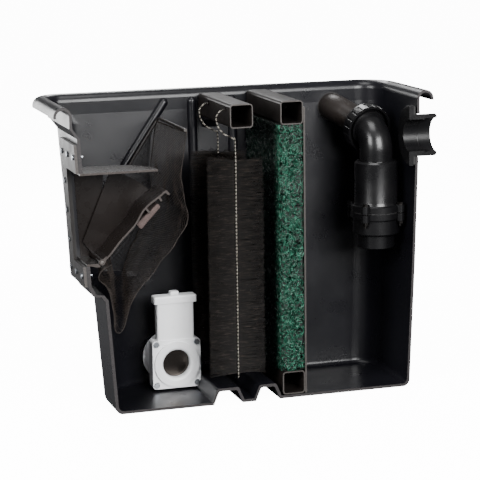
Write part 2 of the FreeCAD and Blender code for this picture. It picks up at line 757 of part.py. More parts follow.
def make_net_bag():
    """A bag that hangs behind the weir door, open towards it."""
    back, skin = dims.net_back.value, dims.net_skin.value
    outer = Part.makeLoft([bag_outline(0, 0, 0), bag_outline(back, 0, 0)], True, True)
    inner = Part.makeLoft(
        [bag_outline(-1, skin, 14), bag_outline(back - skin, skin, 14)], True, True)
    gap = dims.wall.value + 0.6
    outer = outer.common(tank_solid(gap, 20, -2, 2))
    inner = inner.common(tank_solid(gap + skin, 20, -2, 2))
    room = swept(net_frame_path(), dims.rod_radius.value + dims.rod_clear.value)
    return solid_piece(outer.cut(inner).cut(room), "net_bag")


# ---------------------------------------------------------------- brushes

def square_tube(label, left, low, length):
    """A square tube with rounded corners, lying along the depth."""
    body = new_body(label, left, 0, low)
    side, skin = dims.tube_side, dims.tube_skin
    outline = new_sketch(body, "XZ_Plane")
    draw_outline(outline, [(0, 0), (side, 0), (side, side), (0, side)])
    pad(body, outline, length)
    round_edges(body, dims.tube_corner, lambda edge, middle: runs_along(edge, BACKWARD))
    bore = new_sketch(body, "XZ_Plane", 1)
    draw_outline(bore, [(skin, skin), (side - skin, skin), (side - skin, side - skin),
                        (skin, side - skin)])
    pocket(body, bore, length + 2)
    inside = dims.tube_side.value - 2 * dims.tube_skin.value
    round_edges(body, dims.tube_corner - skin, lambda edge, middle: runs_along(edge, BACKWARD)
                and edge_is_inside(middle, body, inside))
    return body


def edge_is_inside(middle, body, inside):
    """Whether an edge along the tube belongs to its square bore."""
    centre = body.Shape.BoundBox.Center
    gap_x = abs(middle.x - centre.x)
    gap_z = abs(middle.z - centre.z)
    return abs(gap_x - inside / 2) < 0.01 and abs(gap_z - inside / 2) < 0.01


def make_brush_rack_tube():
    body = square_tube("brush_rack_tube", dims.rack_left, dims.rack_low, dims.rack_length)
    holes = new_sketch(body, "YZ_Plane", -1)
    for depth in hook_depths():
        draw_circle(holes, (depth, hook_height() - dims.rack_low), dims.hook_hole)
    pocket(body, holes, dims.tube_skin + 2, backward=False)
    return body


def hook_depths():
    """Depths at which the two hooks enter the tube's left side."""
    first = dims.wire_radius + 22
    return [first, first + dims.brush_gap]


def hook_height():
    return dims.rack_low + 29


def hook_path(depth, hole_depth):
    """The wire's middle line, from the brush's foot up to the end inside the tube."""
    x, left, high = dims.brush_x.value, dims.rack_left.value, hook_height().value
    lean = hole_depth - depth
    points = [
        Vector(x, depth, dims.brush_low.value - 4), Vector(x, depth, 452),
        Vector(x - 22, depth + lean * 0.45, 463), Vector(x - 27, depth + lean * 0.8, 486),
        Vector(left - 7, hole_depth, high), Vector(left + 12, hole_depth, high)]
    return rounded_path(points, 7)


def make_brush(name, depth, hole_depth, whole):
    """One brush: a hooked wire and the cylinder that its bristles fill."""
    wire = swept(hook_path(depth, hole_depth), dims.wire_radius.value)
    solid_piece(wire, name + "_wire")
    low, high = dims.brush_low.value, dims.brush_high.value
    foot = Vector(dims.brush_x.value, depth if whole else 0, low)
    angle = 360 if whole else 180
    barrel = Part.makeCylinder(dims.brush_radius.value, high - low, foot, UP, angle)
    bore = Part.makeCylinder(
        dims.wire_radius.value + 0.3, high - low + 20,
        Vector(dims.brush_x.value, depth, low - 10), UP)
    if whole:
        barrel = barrel.cut(pressed_side())
    return solid_piece(barrel.cut(bore), name + "_bristles")


def pressed_side():
    """Where the drain valve keeps the far brush's bristles back."""
    right = dims.drain_x.value + dims.drain_half.value + 0.6
    return Part.makeBox(40, 150, dims.cap_high.value - 20, Vector(right - 40, 40, 30))


def make_brushes():
    hooks = hook_depths()
    near = dims.wire_radius.value
    make_brush("near_brush", near, hooks[0].value, False)
    make_brush("far_brush", near + dims.brush_gap.value, hooks[1].value, True)


# ---------------------------------------------------------------- mat frame

def make_mat():
    """The filter mat, whose far edge follows the back wall's taper."""
    clear = dims.mat_clear
    body = new_body("filter_mat", dims.mat_left, 0, 0)
    sketch = new_sketch(body, "YZ_Plane")
    low = dims.frame_low + dims.tube_side + clear
    high = dims.frame_high - clear
    draw_outline(sketch, [(0, low), (dims.frame_back_low, low), (dims.frame_back_high, high),
                          (0, high)])
    pad(body, sketch, dims.mat_right - dims.mat_left, backward=False)
    return body


def make_backing_panel():
    """A thin perforated panel that holds the mat and joins the two tubes."""
    left = dims.frame_left + dims.tube_side + dims.mat_clear
    body = new_body("mat_backing_panel", left, 0, 0)
    sketch = new_sketch(body, "YZ_Plane")
    draw_outline(sketch, [
        (0, dims.frame_low), (dims.frame_back_low - 2, dims.frame_low),
        (dims.frame_back_high, dims.panel_high), (0, dims.panel_high)])
    pad(body, sketch, dims.panel_thick, backward=False)
    holes = new_sketch(body, "YZ_Plane", -1)
    for row in range(17):
        for column in range(6):
            draw_circle(holes, (16 + 26 * column, 66 + 24 * row), 7)
    pocket(body, holes, dims.panel_thick + 2, backward=False)
    return body


def make_rivets():
    solids = []
    face = dims.frame_left.value + dims.tube_side.value + dims.mat_clear.value
    face = face + dims.panel_thick.value
    for height in (27, 492):
        for depth in (10, 82, 150):
            foot = Vector(face - 6.2, depth, height)
            head = Part.makeSphere(5.2, Vector(face - 3, depth, height), ALONG, 0, 90, 360)
            head = head.common(Part.makeBox(6, 20, 20, Vector(face, depth - 10, height - 10)))
            solids.append(Part.makeCylinder(2.3, 6.6, foot, ALONG).fuse(head))
    return solid_piece(Part.makeCompound(solids), "panel_rivets")


# ---------------------------------------------------------------- outlet

def outlet_points():
    """Corner points of the outlet run, from outside the back wall to the valve's top."""
    return (
        Vector(dims.outlet_x.value, dims.outlet_end.value, dims.outlet_z.value),
        Vector(dims.outlet_x.value, dims.first_bend.value, dims.outlet_z.value),
        Vector(dims.second_x.value, dims.second_depth.value, dims.second_z.value),
        Vector(dims.valve_x.value, dims.valve_depth.value, dims.elbow_z.value),
        Vector(dims.valve_x.value, dims.valve_depth.value, dims.body_top.value - 16))


def union_axis():
    """Direction of the run through the union nut, towards the elbow."""
    _, _, second, corner, _ = outlet_points()
    return (corner - second).normalize()


def union_centre():
    _, _, second, _, _ = outlet_points()
    return second + union_axis() * dims.union_reach.value


def make_outlet_pipe():
    """The pipe from outside the back wall to the union, turning on two wide bends."""
    end, first, second, _, _ = outlet_points()
    path = rounded_path([end, first, second, union_centre()], dims.pipe_bend.value)
    radius = dims.pipe_radius.value
    outer = swept(path, radius)
    inner = swept(path, radius - dims.pipe_skin.value)
    return solid_piece(outer.cut(inner), "outlet_pipe")


def make_outlet_seal():
    """Rubber grommet between the pipe and the hole in the back wall."""
    radius = dims.pipe_radius
    depth = back_at(dims.outlet_z.value) - dims.wall.value
    return revolved("outlet_wall_seal", [
        (radius, 0), (radius + 1.9, 0), (radius + 1.9, dims.wall), (radius, dims.wall)],
        dims.outlet_x, depth, dims.outlet_z, BACKWARD)


def make_union():
    """The elbow's flanged tail and the ribbed nut that pulls it to the pipe."""
    centre, axis = union_centre(), union_axis()
    radius = dims.nut_radius
    bore = dims.elbow_radius + 0.5
    nut = revolved("union_nut", [
        (dims.pipe_radius + 0.6, -8), (radius - 2, -8), (radius, -5), (radius, dims.nut_length - 8),
        (radius - 4, dims.nut_length - 8), (radius - 4, -3), (dims.pipe_radius + 0.6, -3)],
        centre.x, centre.y, centre.z, axis)
    groove = new_sketch(nut, "XY_Plane", dims.nut_length - 7)
    draw_circle(groove, (radius + 1.2, 0), 2.4)
    cut = pocket(nut, groove, dims.nut_length - 5, backward=True)
    pattern = nut.newObject("PartDesign::PolarPattern", "nut_grooves")
    pattern.Originals = [cut]
    pattern.Axis = (groove, ["N_Axis"])
    pattern.Occurrences = 20
    nut.Tip = pattern
    doc.recompute()
    revolved("union_tail", [
        (bore - dims.elbow_skin, -1), (radius - 5, -1), (radius - 5, 6), (bore + 3, 6),
        (bore + 3, 14), (bore - 0.5, 14), (bore - 0.5, 4), (bore - dims.elbow_skin, 4)],
        centre.x, centre.y, centre.z, axis)


def make_elbow():
    """Swept elbow from the union down into the check valve."""
    _, _, _, corner, foot = outlet_points()
    start = union_centre() + union_axis() * 4.4
    path = rounded_path([start, corner, foot], dims.elbow_bend.value)
    radius = dims.elbow_radius.value
    return solid_piece(
        swept(path, radius).cut(swept(path, radius - dims.elbow_skin.value)), "outlet_elbow")


def lug_spots(radius):
    """Centres of the four clamp lugs about the valve's axis."""
    spots = []
    for turn in range(4):
        angle = math.radians(45 + 90 * turn)
        spots.append(Vector(math.cos(angle), math.sin(angle), 0) * radius)
    return spots


def valve_centre():
    return Vector(dims.valve_x.value, dims.valve_depth.value, 0)


def turned_shape(points):
    """A solid of revolution about the check valve's upright axis."""
    corners = [Vector(radius, 0, height) for radius, height in points + points[:1]]
    shape = Part.Face(Part.makePolygon(corners)).revolve(Vector(), UP, 360)
    shape.translate(valve_centre())
    return shape


def clamp_ring(shape, low, high):
    """Adds the four lugs with their bolt holes to one half of the valve."""
    lugs, holes = [], []
    for spot in lug_spots(dims.lug_circle.value):
        middle = valve_centre() + spot
        lug = Part.makeCylinder(
            dims.lug_radius.value, high - low, Vector(middle.x, middle.y, low))
        lugs.append(lug)
        holes.append(Part.makeCylinder(3, high - low + 4, Vector(middle.x, middle.y, low - 2)))
    shape = shape.fuse(lugs)
    room = Part.makeCylinder(
        dims.chamber_radius.value, high - low + 2,
        Vector(dims.valve_x.value, dims.valve_depth.value, low - 1))
    return shape.cut(holes + [room])


def make_check_valve():
    """Upper and lower bodies, gasket, flap and its pin, and the pump socket."""
    body, chamber = dims.body_radius.value, dims.chamber_radius.value
    elbow, joint = dims.elbow_radius.value + 0.15, dims.joint_height.value
    top, flange = dims.body_top.value, dims.flange_radius.value
    upper = turned_shape([
        (chamber, joint + 0.8), (flange, joint + 0.8), (flange, joint + 11), (body + 1.5, joint + 13),
        (body, joint + 18), (body, top - 3), (body - 3, top), (elbow, top), (elbow, top - 18),
        (elbow - 4, top - 18), (elbow - 4, top - 21), (chamber, top - 27)])
    upper = clamp_ring(upper, joint + 0.8, joint + 14)
    solid_piece(upper.removeSplitter(), "check_valve_upper_body")
    lower_radius, foot = dims.lower_radius.value, dims.lower_foot.value
    seat, socket = dims.flap_radius.value - 3.5, dims.socket_radius.value
    lower = turned_shape([
        (seat, joint - 4), (chamber, joint - 4), (chamber, joint - 0.8), (flange, joint - 0.8),
        (flange, joint - 11), (lower_radius, joint - 14), (lower_radius, foot + 3),
        (lower_radius - 3, foot), (socket + 0.2, foot), (socket + 0.2, foot + 14), (seat, foot + 14)])
    lugs = clamp_ring(turned_shape([
        (chamber, joint - 11), (flange, joint - 11), (flange, joint - 0.8), (chamber, joint - 0.8)]),
        joint - 14, joint - 0.8)
    lower = lower.fuse([lugs] + flap_ears())
    solid_piece(lower.removeSplitter(), "check_valve_lower_body")
    solid_piece(turned_shape([
        (chamber, joint - 0.8), (flange - 1, joint - 0.8), (flange - 1, joint + 0.8),
        (chamber, joint + 0.8)]), "check_valve_gasket")
    bore, end = dims.socket_bore.value, dims.socket_foot.value
    solid_piece(turned_shape([
        (bore, end), (socket - 1.5, end), (socket, end + 1.5), (socket, foot + 13.8),
        (seat, foot + 13.8), (bore, foot + 10)]), "pump_socket")
    make_flap()


def flap_axis_height():
    return dims.joint_height.value + 2.5


def flap_ears():
    """Two small ears inside the lower body that hold the flap's pin."""
    ears = []
    centre = valve_centre()
    x = centre.x - dims.flap_hinge.value
    for side in (-11, 11):
        ears.append(Part.makeBox(
            3, 3, 10, Vector(x - 1.5, centre.y + side - 1.5, dims.joint_height.value - 4.5)))
    return ears


def make_flap():
    """The check valve's flap: a disc with a hinge arm, and the pin it swings on."""
    centre = valve_centre()
    radius, thick = dims.flap_radius.value, dims.flap_thick.value
    low = dims.joint_height.value - 3.7
    axis_height = flap_axis_height()
    hinge = Vector(centre.x - dims.flap_hinge.value, centre.y, axis_height)
    disc = Part.makeCylinder(radius, thick, Vector(centre.x, centre.y, low))
    arm = Part.makeBox(
        dims.flap_hinge.value, 14, 3, Vector(hinge.x, centre.y - 7, axis_height - 1.8))
    rise = Part.makeBox(12, 14, axis_height - low, Vector(centre.x - 6, centre.y - 7, low + 0.5))
    knuckle = Part.makeCylinder(3.2, 14, hinge - BACKWARD * 7, BACKWARD)
    pin_radius = dims.flap_pin.value
    bore = Part.makeCylinder(
        pin_radius + dims.pin_play.value, 20, hinge - BACKWARD * 10, BACKWARD)
    trim = Part.makeCylinder(3.7, 40, hinge - BACKWARD * 20 - UP * 2, BACKWARD)
    disc = disc.cut(trim)
    solid_piece(disc.fuse([arm, rise, knuckle]).cut(bore).removeSplitter(), "check_valve_flap")
    solid_piece(
        Part.makeCylinder(pin_radius, 25, hinge - BACKWARD * 12.5, BACKWARD), "flap_pin")


def make_clamp_bolts():
    """Hexagon bolts down through the lugs, and their nuts."""
    joint = dims.joint_height.value
    centre = valve_centre()
    bolts, nuts = [], []
    for spot in lug_spots(dims.lug_circle.value):
        middle = centre + spot
        shank = Part.makeCylinder(2.6, 42, Vector(middle.x, middle.y, joint - 24))
        head = hexagons(9, 4, [Vector(middle.x, middle.y, joint + 14)], UP)[0]
        bolts.append(shank.fuse(head))
        nut = hexagons(9, 5, [Vector(middle.x, middle.y, joint - 19)], UP)[0]
        nuts.append(nut.cut(Part.makeCylinder(2.6, 9, Vector(middle.x, middle.y, joint - 21))))
    solid_piece(Part.makeCompound(bolts), "clamp_bolts")
    solid_piece(Part.makeCompound(nuts), "clamp_nuts")


# ---------------------------------------------------------------- overflow

def make_overflow():
    """Half of the overflow bulkhead and its gasket: both are cut on the middle plane."""
    bore, sleeve = dims.over_bore, dims.over_sleeve
    length = dims.over_end - dims.over_face
    revolved("overflow_bulkhead", [
        (bore, 0), (dims.over_flange - 1.5, 0), (dims.over_flange, 1.5),
        (dims.over_flange, dims.over_flange_thick), (sleeve, dims.over_flange_thick),
        (sleeve, length - 3), (sleeve - 2.5, length), (bore + 1.5, length), (bore + 1.5, 29),
        (bore - 1, 28), (bore - 1, 26), (bore, 25)],
        dims.over_face, 0, dims.over_z, ALONG, 180)
    revolved("overflow_gasket", [
        (sleeve, 0), (dims.over_flange - 2, 0), (dims.over_flange - 2, dims.over_seal),
        (sleeve, dims.over_seal)],
        dims.over_face + dims.over_flange_thick, 0, dims.over_z, ALONG, 180)


# ---------------------------------------------------------------- drain valve

def valve_square(label, start, thick, half=None):
    """One square half of the drain valve, centred on the bore."""
    half = half or dims.drain_half
    body = slab(label, [(-half, -half), (half, -half), (half, half), (-half, half)],
                start, thick, dims.drain_x, dims.drain_z)
    round_edges(body, 6, lambda edge, middle: runs_along(edge, BACKWARD))
    return body


def bore_through(body, radius, length):
    sketch = new_sketch(body, "XZ_Plane", 30)
    draw_circle(sketch, (0, 0), radius)
    pocket(body, sketch, length + 60)


def bolt_holes(body, length):
    sketch = new_sketch(body, "XZ_Plane", 30)
    for across, up in valve_bolt_spots():
        draw_circle(sketch, (across, up), 3.2)
    pocket(body, sketch, length + 60)


def valve_bolt_spots():
    """Bolt places about the bore, measured from its centre."""
    reach = dims.drain_half - 6.5
    return [(-reach, -reach), (reach, -reach), (reach, reach), (-reach, reach)]


def make_drain_valve():
    """A knife valve: two square halves round a sliding blade, with a bonnet above."""
    front, thick, room = dims.drain_front, dims.drain_thick, dims.blade_room
    face = valve_square("drain_valve_front_body", front, thick)
    boss = new_sketch(face, "XZ_Plane", 3.5)
    draw_circle(boss, (0, 0), dims.drain_boss - 4)
    pad(face, boss, 6)
    bore_through(face, dims.drain_bore, thick)
    front_face = at_depth(front - 3.5).value
    bore_edge = 2 * math.pi * dims.drain_bore.value
    round_edges(face, 6, lambda edge, middle: abs(middle.y - front_face) < 0.01
                and abs(edge.Length - bore_edge) < 0.1)
    bolt_holes(face, thick)
    seats = new_sketch(face, "XZ_Plane", 1)
    for across, up in valve_bolt_spots():
        draw_circle(seats, (across, up), 6)
    pocket(face, seats, 3.4)
    rear = valve_square("drain_valve_rear_body", front + thick, thick + room)
    hub = new_sketch(rear, "XZ_Plane", -(thick + room - 2))
    draw_circle(hub, (0, 0), dims.hub_radius)
    pad(rear, hub, 26)
    bore_through(rear, dims.drain_bore - 1, thick)
    bolt_holes(rear, thick)
    slot_half = dims.blade_half + 1.2
    slot = new_sketch(rear, "XZ_Plane", 1)
    draw_outline(slot, [(-slot_half, 0), (slot_half, 0), (slot_half, dims.drain_half + 1),
                        (-slot_half, dims.drain_half + 1)])
    pocket(rear, slot, room + 1)
    well = new_sketch(rear, "XZ_Plane", 1)
    draw_circle(well, (0, 0), slot_half)
    pocket(rear, well, room + 1)
    make_bonnet()
    make_gate()
    make_valve_seals()
    make_valve_bolts()


def make_bonnet():
    """The hollow bonnet above the valve's halves, and its cap."""
    low = dims.drain_half + dims.drain_z
    front = dims.drain_front + 1.5
    half, thick = dims.bonnet_half, 19
    body = slab("drain_valve_bonnet", [
        (-half, low), (half, low), (half, dims.bonnet_high), (-half, dims.bonnet_high)],
        front, thick, dims.drain_x, 0)
    round_edges(body, 4, lambda edge, middle: runs_along(edge, UP))
    room = new_sketch(body, "XY_Plane", low - 1)
    inner = dims.blade_half + 1.2
    start = dims.drain_thick - 1.5
    draw_outline(room, [(-inner, start), (inner, start), (inner, start + dims.blade_room),
                        (-inner, start + dims.blade_room)])
    pocket(body, room, dims.bonnet_high - low + 2, backward=False)
    way = new_sketch(body, "XY_Plane", low - 1)
    draw_circle(way, (0, start + dims.blade_room / 2), dims.stem_radius + 0.4)
    pocket(body, way, dims.bonnet_high - low + 2, backward=False)
    cap = slab("bonnet_cap", [
        (-dims.cap_half, dims.bonnet_high), (dims.cap_half, dims.bonnet_high),
        (dims.cap_half, dims.cap_high), (-dims.cap_half, dims.cap_high)],
        front - 2.5, thick + 5, dims.drain_x, 0)
    round_edges(cap, 3, lambda edge, middle: runs_along(edge, UP)
                or middle.z > dims.cap_high.value - 0.1)
    hole = new_sketch(cap, "XY_Plane", dims.bonnet_high - 1)
    draw_circle(hole, (0, start + dims.blade_room / 2 + 2.5), dims.stem_radius + 0.1)
    pocket(cap, hole, 30, backward=False)


def make_gate():
    """The steel blade, closed, with its stem and the grip on top."""
    x, z = dims.drain_x.value, dims.drain_z.value
    middle = dims.drain_front.value + dims.drain_thick.value + dims.blade_room.value / 2
    half, thick = dims.blade_half.value, dims.blade_thick.value
    start = middle - thick / 2
    disc = Part.makeCylinder(half, thick, Vector(x, start, z), BACKWARD)
    plate = Part.makeBox(2 * half, thick, 52, Vector(x - half, start, z))
    solid_piece(disc.fuse(plate).removeSplitter(), "gate_blade")
    stem_foot = z + 52
    revolved("gate_stem", [
        (0, stem_foot), (dims.stem_radius, stem_foot), (dims.stem_radius, dims.cap_high + 0.4),
        (0, dims.cap_high + 0.4)], dims.drain_x, middle, 0)
    half_grip = dims.grip_half
    grip = slab("gate_grip", [
        (-half_grip, dims.cap_high + 0.4), (half_grip, dims.cap_high + 0.4),
        (half_grip, dims.grip_high), (-half_grip, dims.grip_high)],
        middle - half_grip.value, half_grip * 2, dims.drain_x, 0)
    round_edges(grip, 2, lambda edge, point: runs_along(edge, UP)
                or point.z > dims.grip_high.value - 0.1)


def make_valve_seals():
    """Flat rubber rings on both sides of the blade."""
    solids = []
    face = dims.drain_front.value + dims.drain_thick.value
    thick = (dims.blade_room.value - dims.blade_thick.value) / 2 - 0.1
    centre = Vector(dims.drain_x.value, 0, dims.drain_z.value)
    for start in (face, face + dims.blade_room.value - thick):
        ring = Part.makeCylinder(27.3, thick, centre + BACKWARD * start, BACKWARD)
        hole = Part.makeCylinder(
            dims.drain_bore.value + 1, thick + 2, centre + BACKWARD * (start - 1), BACKWARD)
        solids.append(ring.cut(hole))
    return solid_piece(Part.makeCompound(solids), "gate_seals")


def make_valve_bolts():
    front = dims.drain_front.value
    back = front + 2 * dims.drain_thick.value + dims.blade_room.value
    bolts, nuts = [], []
    for across, up in valve_bolt_spots():
        x = dims.drain_x.value + across.value if isinstance(across, Size) else across
        z = dims.drain_z.value + up.value
        shank = Part.makeCylinder(2.9, back - front + 10, Vector(x, front, z), BACKWARD)
        head = hexagons(8.6, 4, [Vector(x, front - 1.7, z)], BACKWARD)[0]
        bolts.append(shank.fuse(head))
        nut = hexagons(10, 5, [Vector(x, back, z)], BACKWARD)[0]
        nuts.append(nut.cut(Part.makeCylinder(2.9, 9, Vector(x, back - 2, z), BACKWARD)))
    solid_piece(Part.makeCompound(bolts), "drain_valve_bolts")
    solid_piece(Part.makeCompound(nuts), "drain_valve_nuts")


def make_drain_bulkhead():
    """Flanged fitting through the back wall, with its gasket and outside nut."""
    z = dims.drain_z
    valve_back = dims.drain_front + 2 * dims.drain_thick + dims.blade_room + 24.4
    seal = dims.drain_pad_in - 0.1 - dims.drain_seal
    flange = seal - 6.1 - valve_back
    neck, radius = dims.bulkhead_neck, dims.bulkhead_radius
    bore = dims.drain_bore
    hub = dims.hub_radius + 3
    revolved("drain_bulkhead", [
        (bore, 0), (hub, 0), (hub, 3), (hub - 2, flange - 4), (radius - 3, flange), (radius, flange + 2),
        (radius, flange + 6), (neck, flange + 6), (neck, flange + 38), (bore, flange + 38)],
        dims.drain_x, valve_back, z, BACKWARD)
    revolved("drain_gasket", [
        (neck, 0), (radius - 1.5, 0), (radius - 1.5, dims.drain_seal), (neck, dims.drain_seal)],
        dims.drain_x, seal, z, BACKWARD)
    outside = dims.drain_pad_out.value + 0.1
    centre = Vector(dims.drain_x.value, outside, z.value)
    nut = hexagons(74, 11, [centre], BACKWARD)[0]
    hole = Part.makeCylinder(neck.value, 15, centre - BACKWARD * 2, BACKWARD)
    return solid_piece(nut.cut(hole), "drain_nut")


# ---------------------------------------------------------------- the whole object

def make_everything():
    make_tank_shell()
    make_face_plate()
    sloped_plate("face_plate_gasket", dims.gasket_thick - dims.gasket_thick, dims.gasket_thick)
    make_face_plate_screws()
    make_throat()
    make_weir_door()
    make_weir_float()
    make_hinge_pin()
    make_net_frame()
    make_net_bag()
    make_brush_rack_tube()
    make_brushes()
    square_tube("mat_frame_top_tube", dims.frame_left, dims.frame_high, dims.frame_back_high)
    square_tube("mat_frame_bottom_tube", dims.frame_left, dims.frame_low, dims.frame_back_low - 4)
    make_mat()
    make_backing_panel()
    make_rivets()
    make_outlet_pipe()
    make_outlet_seal()
    make_union()
    make_elbow()
    make_check_valve()
    make_clamp_bolts()
    make_overflow()
    make_drain_valve()
    make_drain_bulkhead()


def check_document():
    doc.recompute()
    for item in doc.Objects:
        for state in ("Invalid", "Error"):
            if state in item.State:
                raise RuntimeError("%s is in state %s" % (item.Label, item.State))
    for piece in sub_parts:
        if piece.Shape.isNull() or not piece.Shape.isValid() or not piece.Shape.Solids:
            raise RuntimeError("%s has no valid solid" % piece.Label)


def write_parts():
    os.makedirs("parts", exist_ok=True)
    for piece in sub_parts:
        piece.Shape.exportStep("parts/%s.step" % piece.Label)
        box = piece.Shape.BoundBox
        print("%-26s %d solid(s)  x %7.1f %7.1f  y %7.1f %7.1f  z %6.1f %6.1f" % (
            piece.Label, len(piece.Shape.Solids), box.XMin, box.XMax, box.YMin, box.YMax,
            box.ZMin, box.ZMax))


make_everything()
check_document()
write_parts()
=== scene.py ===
"""Looks for the cut-away pond skimmer filter box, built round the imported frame. Metres."""
import math
import random

import bmesh
import bpy
from mathutils import Matrix, Vector, noise
from mathutils.geometry import intersect_point_tri_2d, tessellate_polygon


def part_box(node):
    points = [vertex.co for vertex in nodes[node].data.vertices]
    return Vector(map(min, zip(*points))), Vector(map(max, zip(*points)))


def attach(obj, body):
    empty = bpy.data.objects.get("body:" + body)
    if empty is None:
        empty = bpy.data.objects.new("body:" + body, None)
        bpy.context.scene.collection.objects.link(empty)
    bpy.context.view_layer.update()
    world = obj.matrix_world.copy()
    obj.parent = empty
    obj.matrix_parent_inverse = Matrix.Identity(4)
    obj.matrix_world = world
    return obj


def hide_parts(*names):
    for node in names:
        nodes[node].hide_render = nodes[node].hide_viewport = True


for default in ("Cube", "Light", "Camera"):
    if default in bpy.data.objects:
        bpy.data.objects.remove(bpy.data.objects[default])
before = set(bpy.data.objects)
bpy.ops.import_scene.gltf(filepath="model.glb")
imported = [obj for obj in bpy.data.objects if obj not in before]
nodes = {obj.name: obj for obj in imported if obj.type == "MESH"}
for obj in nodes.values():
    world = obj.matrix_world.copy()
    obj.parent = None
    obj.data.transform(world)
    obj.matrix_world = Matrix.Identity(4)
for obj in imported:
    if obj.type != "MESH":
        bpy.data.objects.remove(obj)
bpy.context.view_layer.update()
MM = 0.001
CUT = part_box("brush_rack_tube")[0].y
MAT_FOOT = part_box("mat_frame_bottom_tube")[1].y + 0.004
WIRE_RADIUS = 2.2 * MM
UPWARD = Vector((0, 0, 1))


# ---------------------------------------------------------------- camera

YAW, PITCH, ROLL = 0.302, 0.192, -0.014
EYE = Vector((-0.9278, -3.0163, 0.8741))
LENS, SENSOR = 138.64, 36


def set_camera():
    """A long lens turned to the right and a little down."""
    forward = Vector((math.sin(YAW) * math.cos(PITCH), math.cos(YAW) * math.cos(PITCH),
                      -math.sin(PITCH)))
    right = Vector((math.cos(YAW), -math.sin(YAW), 0))
    up = right.cross(forward)
    rolled_right = right * math.cos(ROLL) + up * math.sin(ROLL)
    rolled_up = up * math.cos(ROLL) - right * math.sin(ROLL)
    data = bpy.data.cameras.new("view")
    data.lens = LENS
    data.sensor_width = SENSOR
    camera = bpy.data.objects.new("view", data)
    turn = Matrix((rolled_right, rolled_up, -forward)).transposed()
    camera.matrix_world = Matrix.Translation(EYE) @ turn.to_4x4()
    bpy.context.scene.collection.objects.link(camera)
    bpy.context.scene.camera = camera


# ---------------------------------------------------------------- materials

class Shader:
    """A material under construction: adds nodes and links them in one go."""

    def __init__(self, name):
        self.material = bpy.data.materials.new(name)
        self.material.use_nodes = True
        self.tree = self.material.node_tree
        self.surface = self.tree.nodes["Principled BSDF"]
        self.place = self.node("ShaderNodeNewGeometry").outputs["Position"]

    def node(self, kind, **inputs):
        made = self.tree.nodes.new(kind)
        for name, value in inputs.items():
            self.feed(made.inputs[name.replace("_", " ")], value)
        return made

    def feed(self, socket, value):
        if isinstance(value, bpy.types.NodeSocket):
            self.tree.links.new(value, socket)
        else:
            socket.default_value = value

    def noise(self, scale, detail=4.0, rough=0.55):
        return self.node(
            "ShaderNodeTexNoise", Vector=self.place, Scale=scale, Detail=detail,
            Roughness=rough).outputs["Fac"]

    def stretched_noise(self, stretch, scale, detail, rough=0.5):
        lie = self.node("ShaderNodeMapping", Vector=self.place, Scale=stretch)
        return self.node(
            "ShaderNodeTexNoise", Vector=lie.outputs["Vector"], Scale=scale, Detail=detail,
            Roughness=rough).outputs["Fac"]

    def along(self, axis):
        return self.node("ShaderNodeSeparateXYZ", Vector=self.place).outputs[axis]

    def ramp(self, value, stops):
        made = self.node("ShaderNodeValToRGB", Fac=value)
        elements = made.color_ramp.elements
        while len(elements) < len(stops):
            elements.new(0.5)
        for element, (at, color) in zip(elements, stops):
            element.position = at
            element.color = (*color, 1.0)
        return made.outputs["Color"]

    def span(self, value, low, high, start=0.0, end=1.0):
        return self.node(
            "ShaderNodeMapRange", Value=value, From_Min=start, From_Max=end, To_Min=low,
            To_Max=high).outputs["Result"]

    def mix(self, share, first, second):
        made = self.node("ShaderNodeMix")
        made.data_type = "RGBA"
        self.feed(made.inputs[0], share)
        self.feed(made.inputs[6], first)
        self.feed(made.inputs[7], second)
        return made.outputs[2]

    def math(self, kind, first, second):
        made = self.node("ShaderNodeMath")
        made.operation = kind
        self.feed(made.inputs[0], first)
        self.feed(made.inputs[1], second)
        return made.outputs[0]

    def bump(self, height, distance):
        normal = self.node("ShaderNodeBump", Height=height, Distance=distance, Strength=1.0)
        self.feed(self.surface.inputs["Normal"], normal.outputs["Normal"])

    def give(self, **inputs):
        for name, value in inputs.items():
            self.feed(self.surface.inputs[name.replace("_", " ")], value)
        return self.material


def paint(color):
    return (*color, 1.0)


def sawn_face(s, skin, dark, light):
    """Mixes a paler, streaked colour over the skin wherever the part lies on the cut plane."""
    streaks = s.stretched_noise((220, 40, 900), 1.0, 3.0)
    sawn = s.ramp(streaks, [(0.3, dark), (0.75, light)])
    on_cut = s.math("LESS_THAN", s.along("Y"), CUT + 0.0004)
    return on_cut, s.mix(on_cut, skin, sawn)


def moulded(name, dark, light, rough, grain=900, depth=0.00006, coat=0.0, dust=None, cut=None,
             shine=0.5):
    """Moulded plastic: faint colour drift, a fine grain and uneven gloss."""
    s = Shader(name)
    drift = s.noise(9, 6)
    color = s.ramp(drift, [(0.3, dark), (0.72, light)])
    if dust:
        specks = s.span(s.noise(60, 8, 0.7), 0, 1, 0.58, 0.78)
        color = s.mix(s.math("MULTIPLY", specks, 0.35), color, paint(dust))
    if cut:
        _, color = sawn_face(s, color, *cut)
    s.bump(s.noise(grain, 3), depth)
    return s.give(
        Base_Color=color, Roughness=s.span(s.noise(35, 5), rough[0], rough[1], 0.3, 0.7),
        Coat_Weight=coat, Coat_Roughness=0.12, Specular_IOR_Level=shine)


def shell_material():
    """Black shell: leather-like grain, and a pale sawn face on the cut plane."""
    s = Shader("shell_black")
    skin = s.ramp(s.noise(5, 7), [
        (0.3, (0.0026, 0.0026, 0.0038)), (0.7, (0.0054, 0.0054, 0.0074))])
    on_cut, color = sawn_face(s, skin, (0.019, 0.017, 0.0172), (0.038, 0.034, 0.035))
    s.bump(s.noise(650, 4), 0.0001)
    rough = s.span(s.noise(22, 6), 0.26, 0.35, 0.3, 0.7)
    return s.give(Base_Color=color, Specular_IOR_Level=0.31, Roughness=s.math(
        "ADD", rough, s.math("MULTIPLY", on_cut, 0.22)))


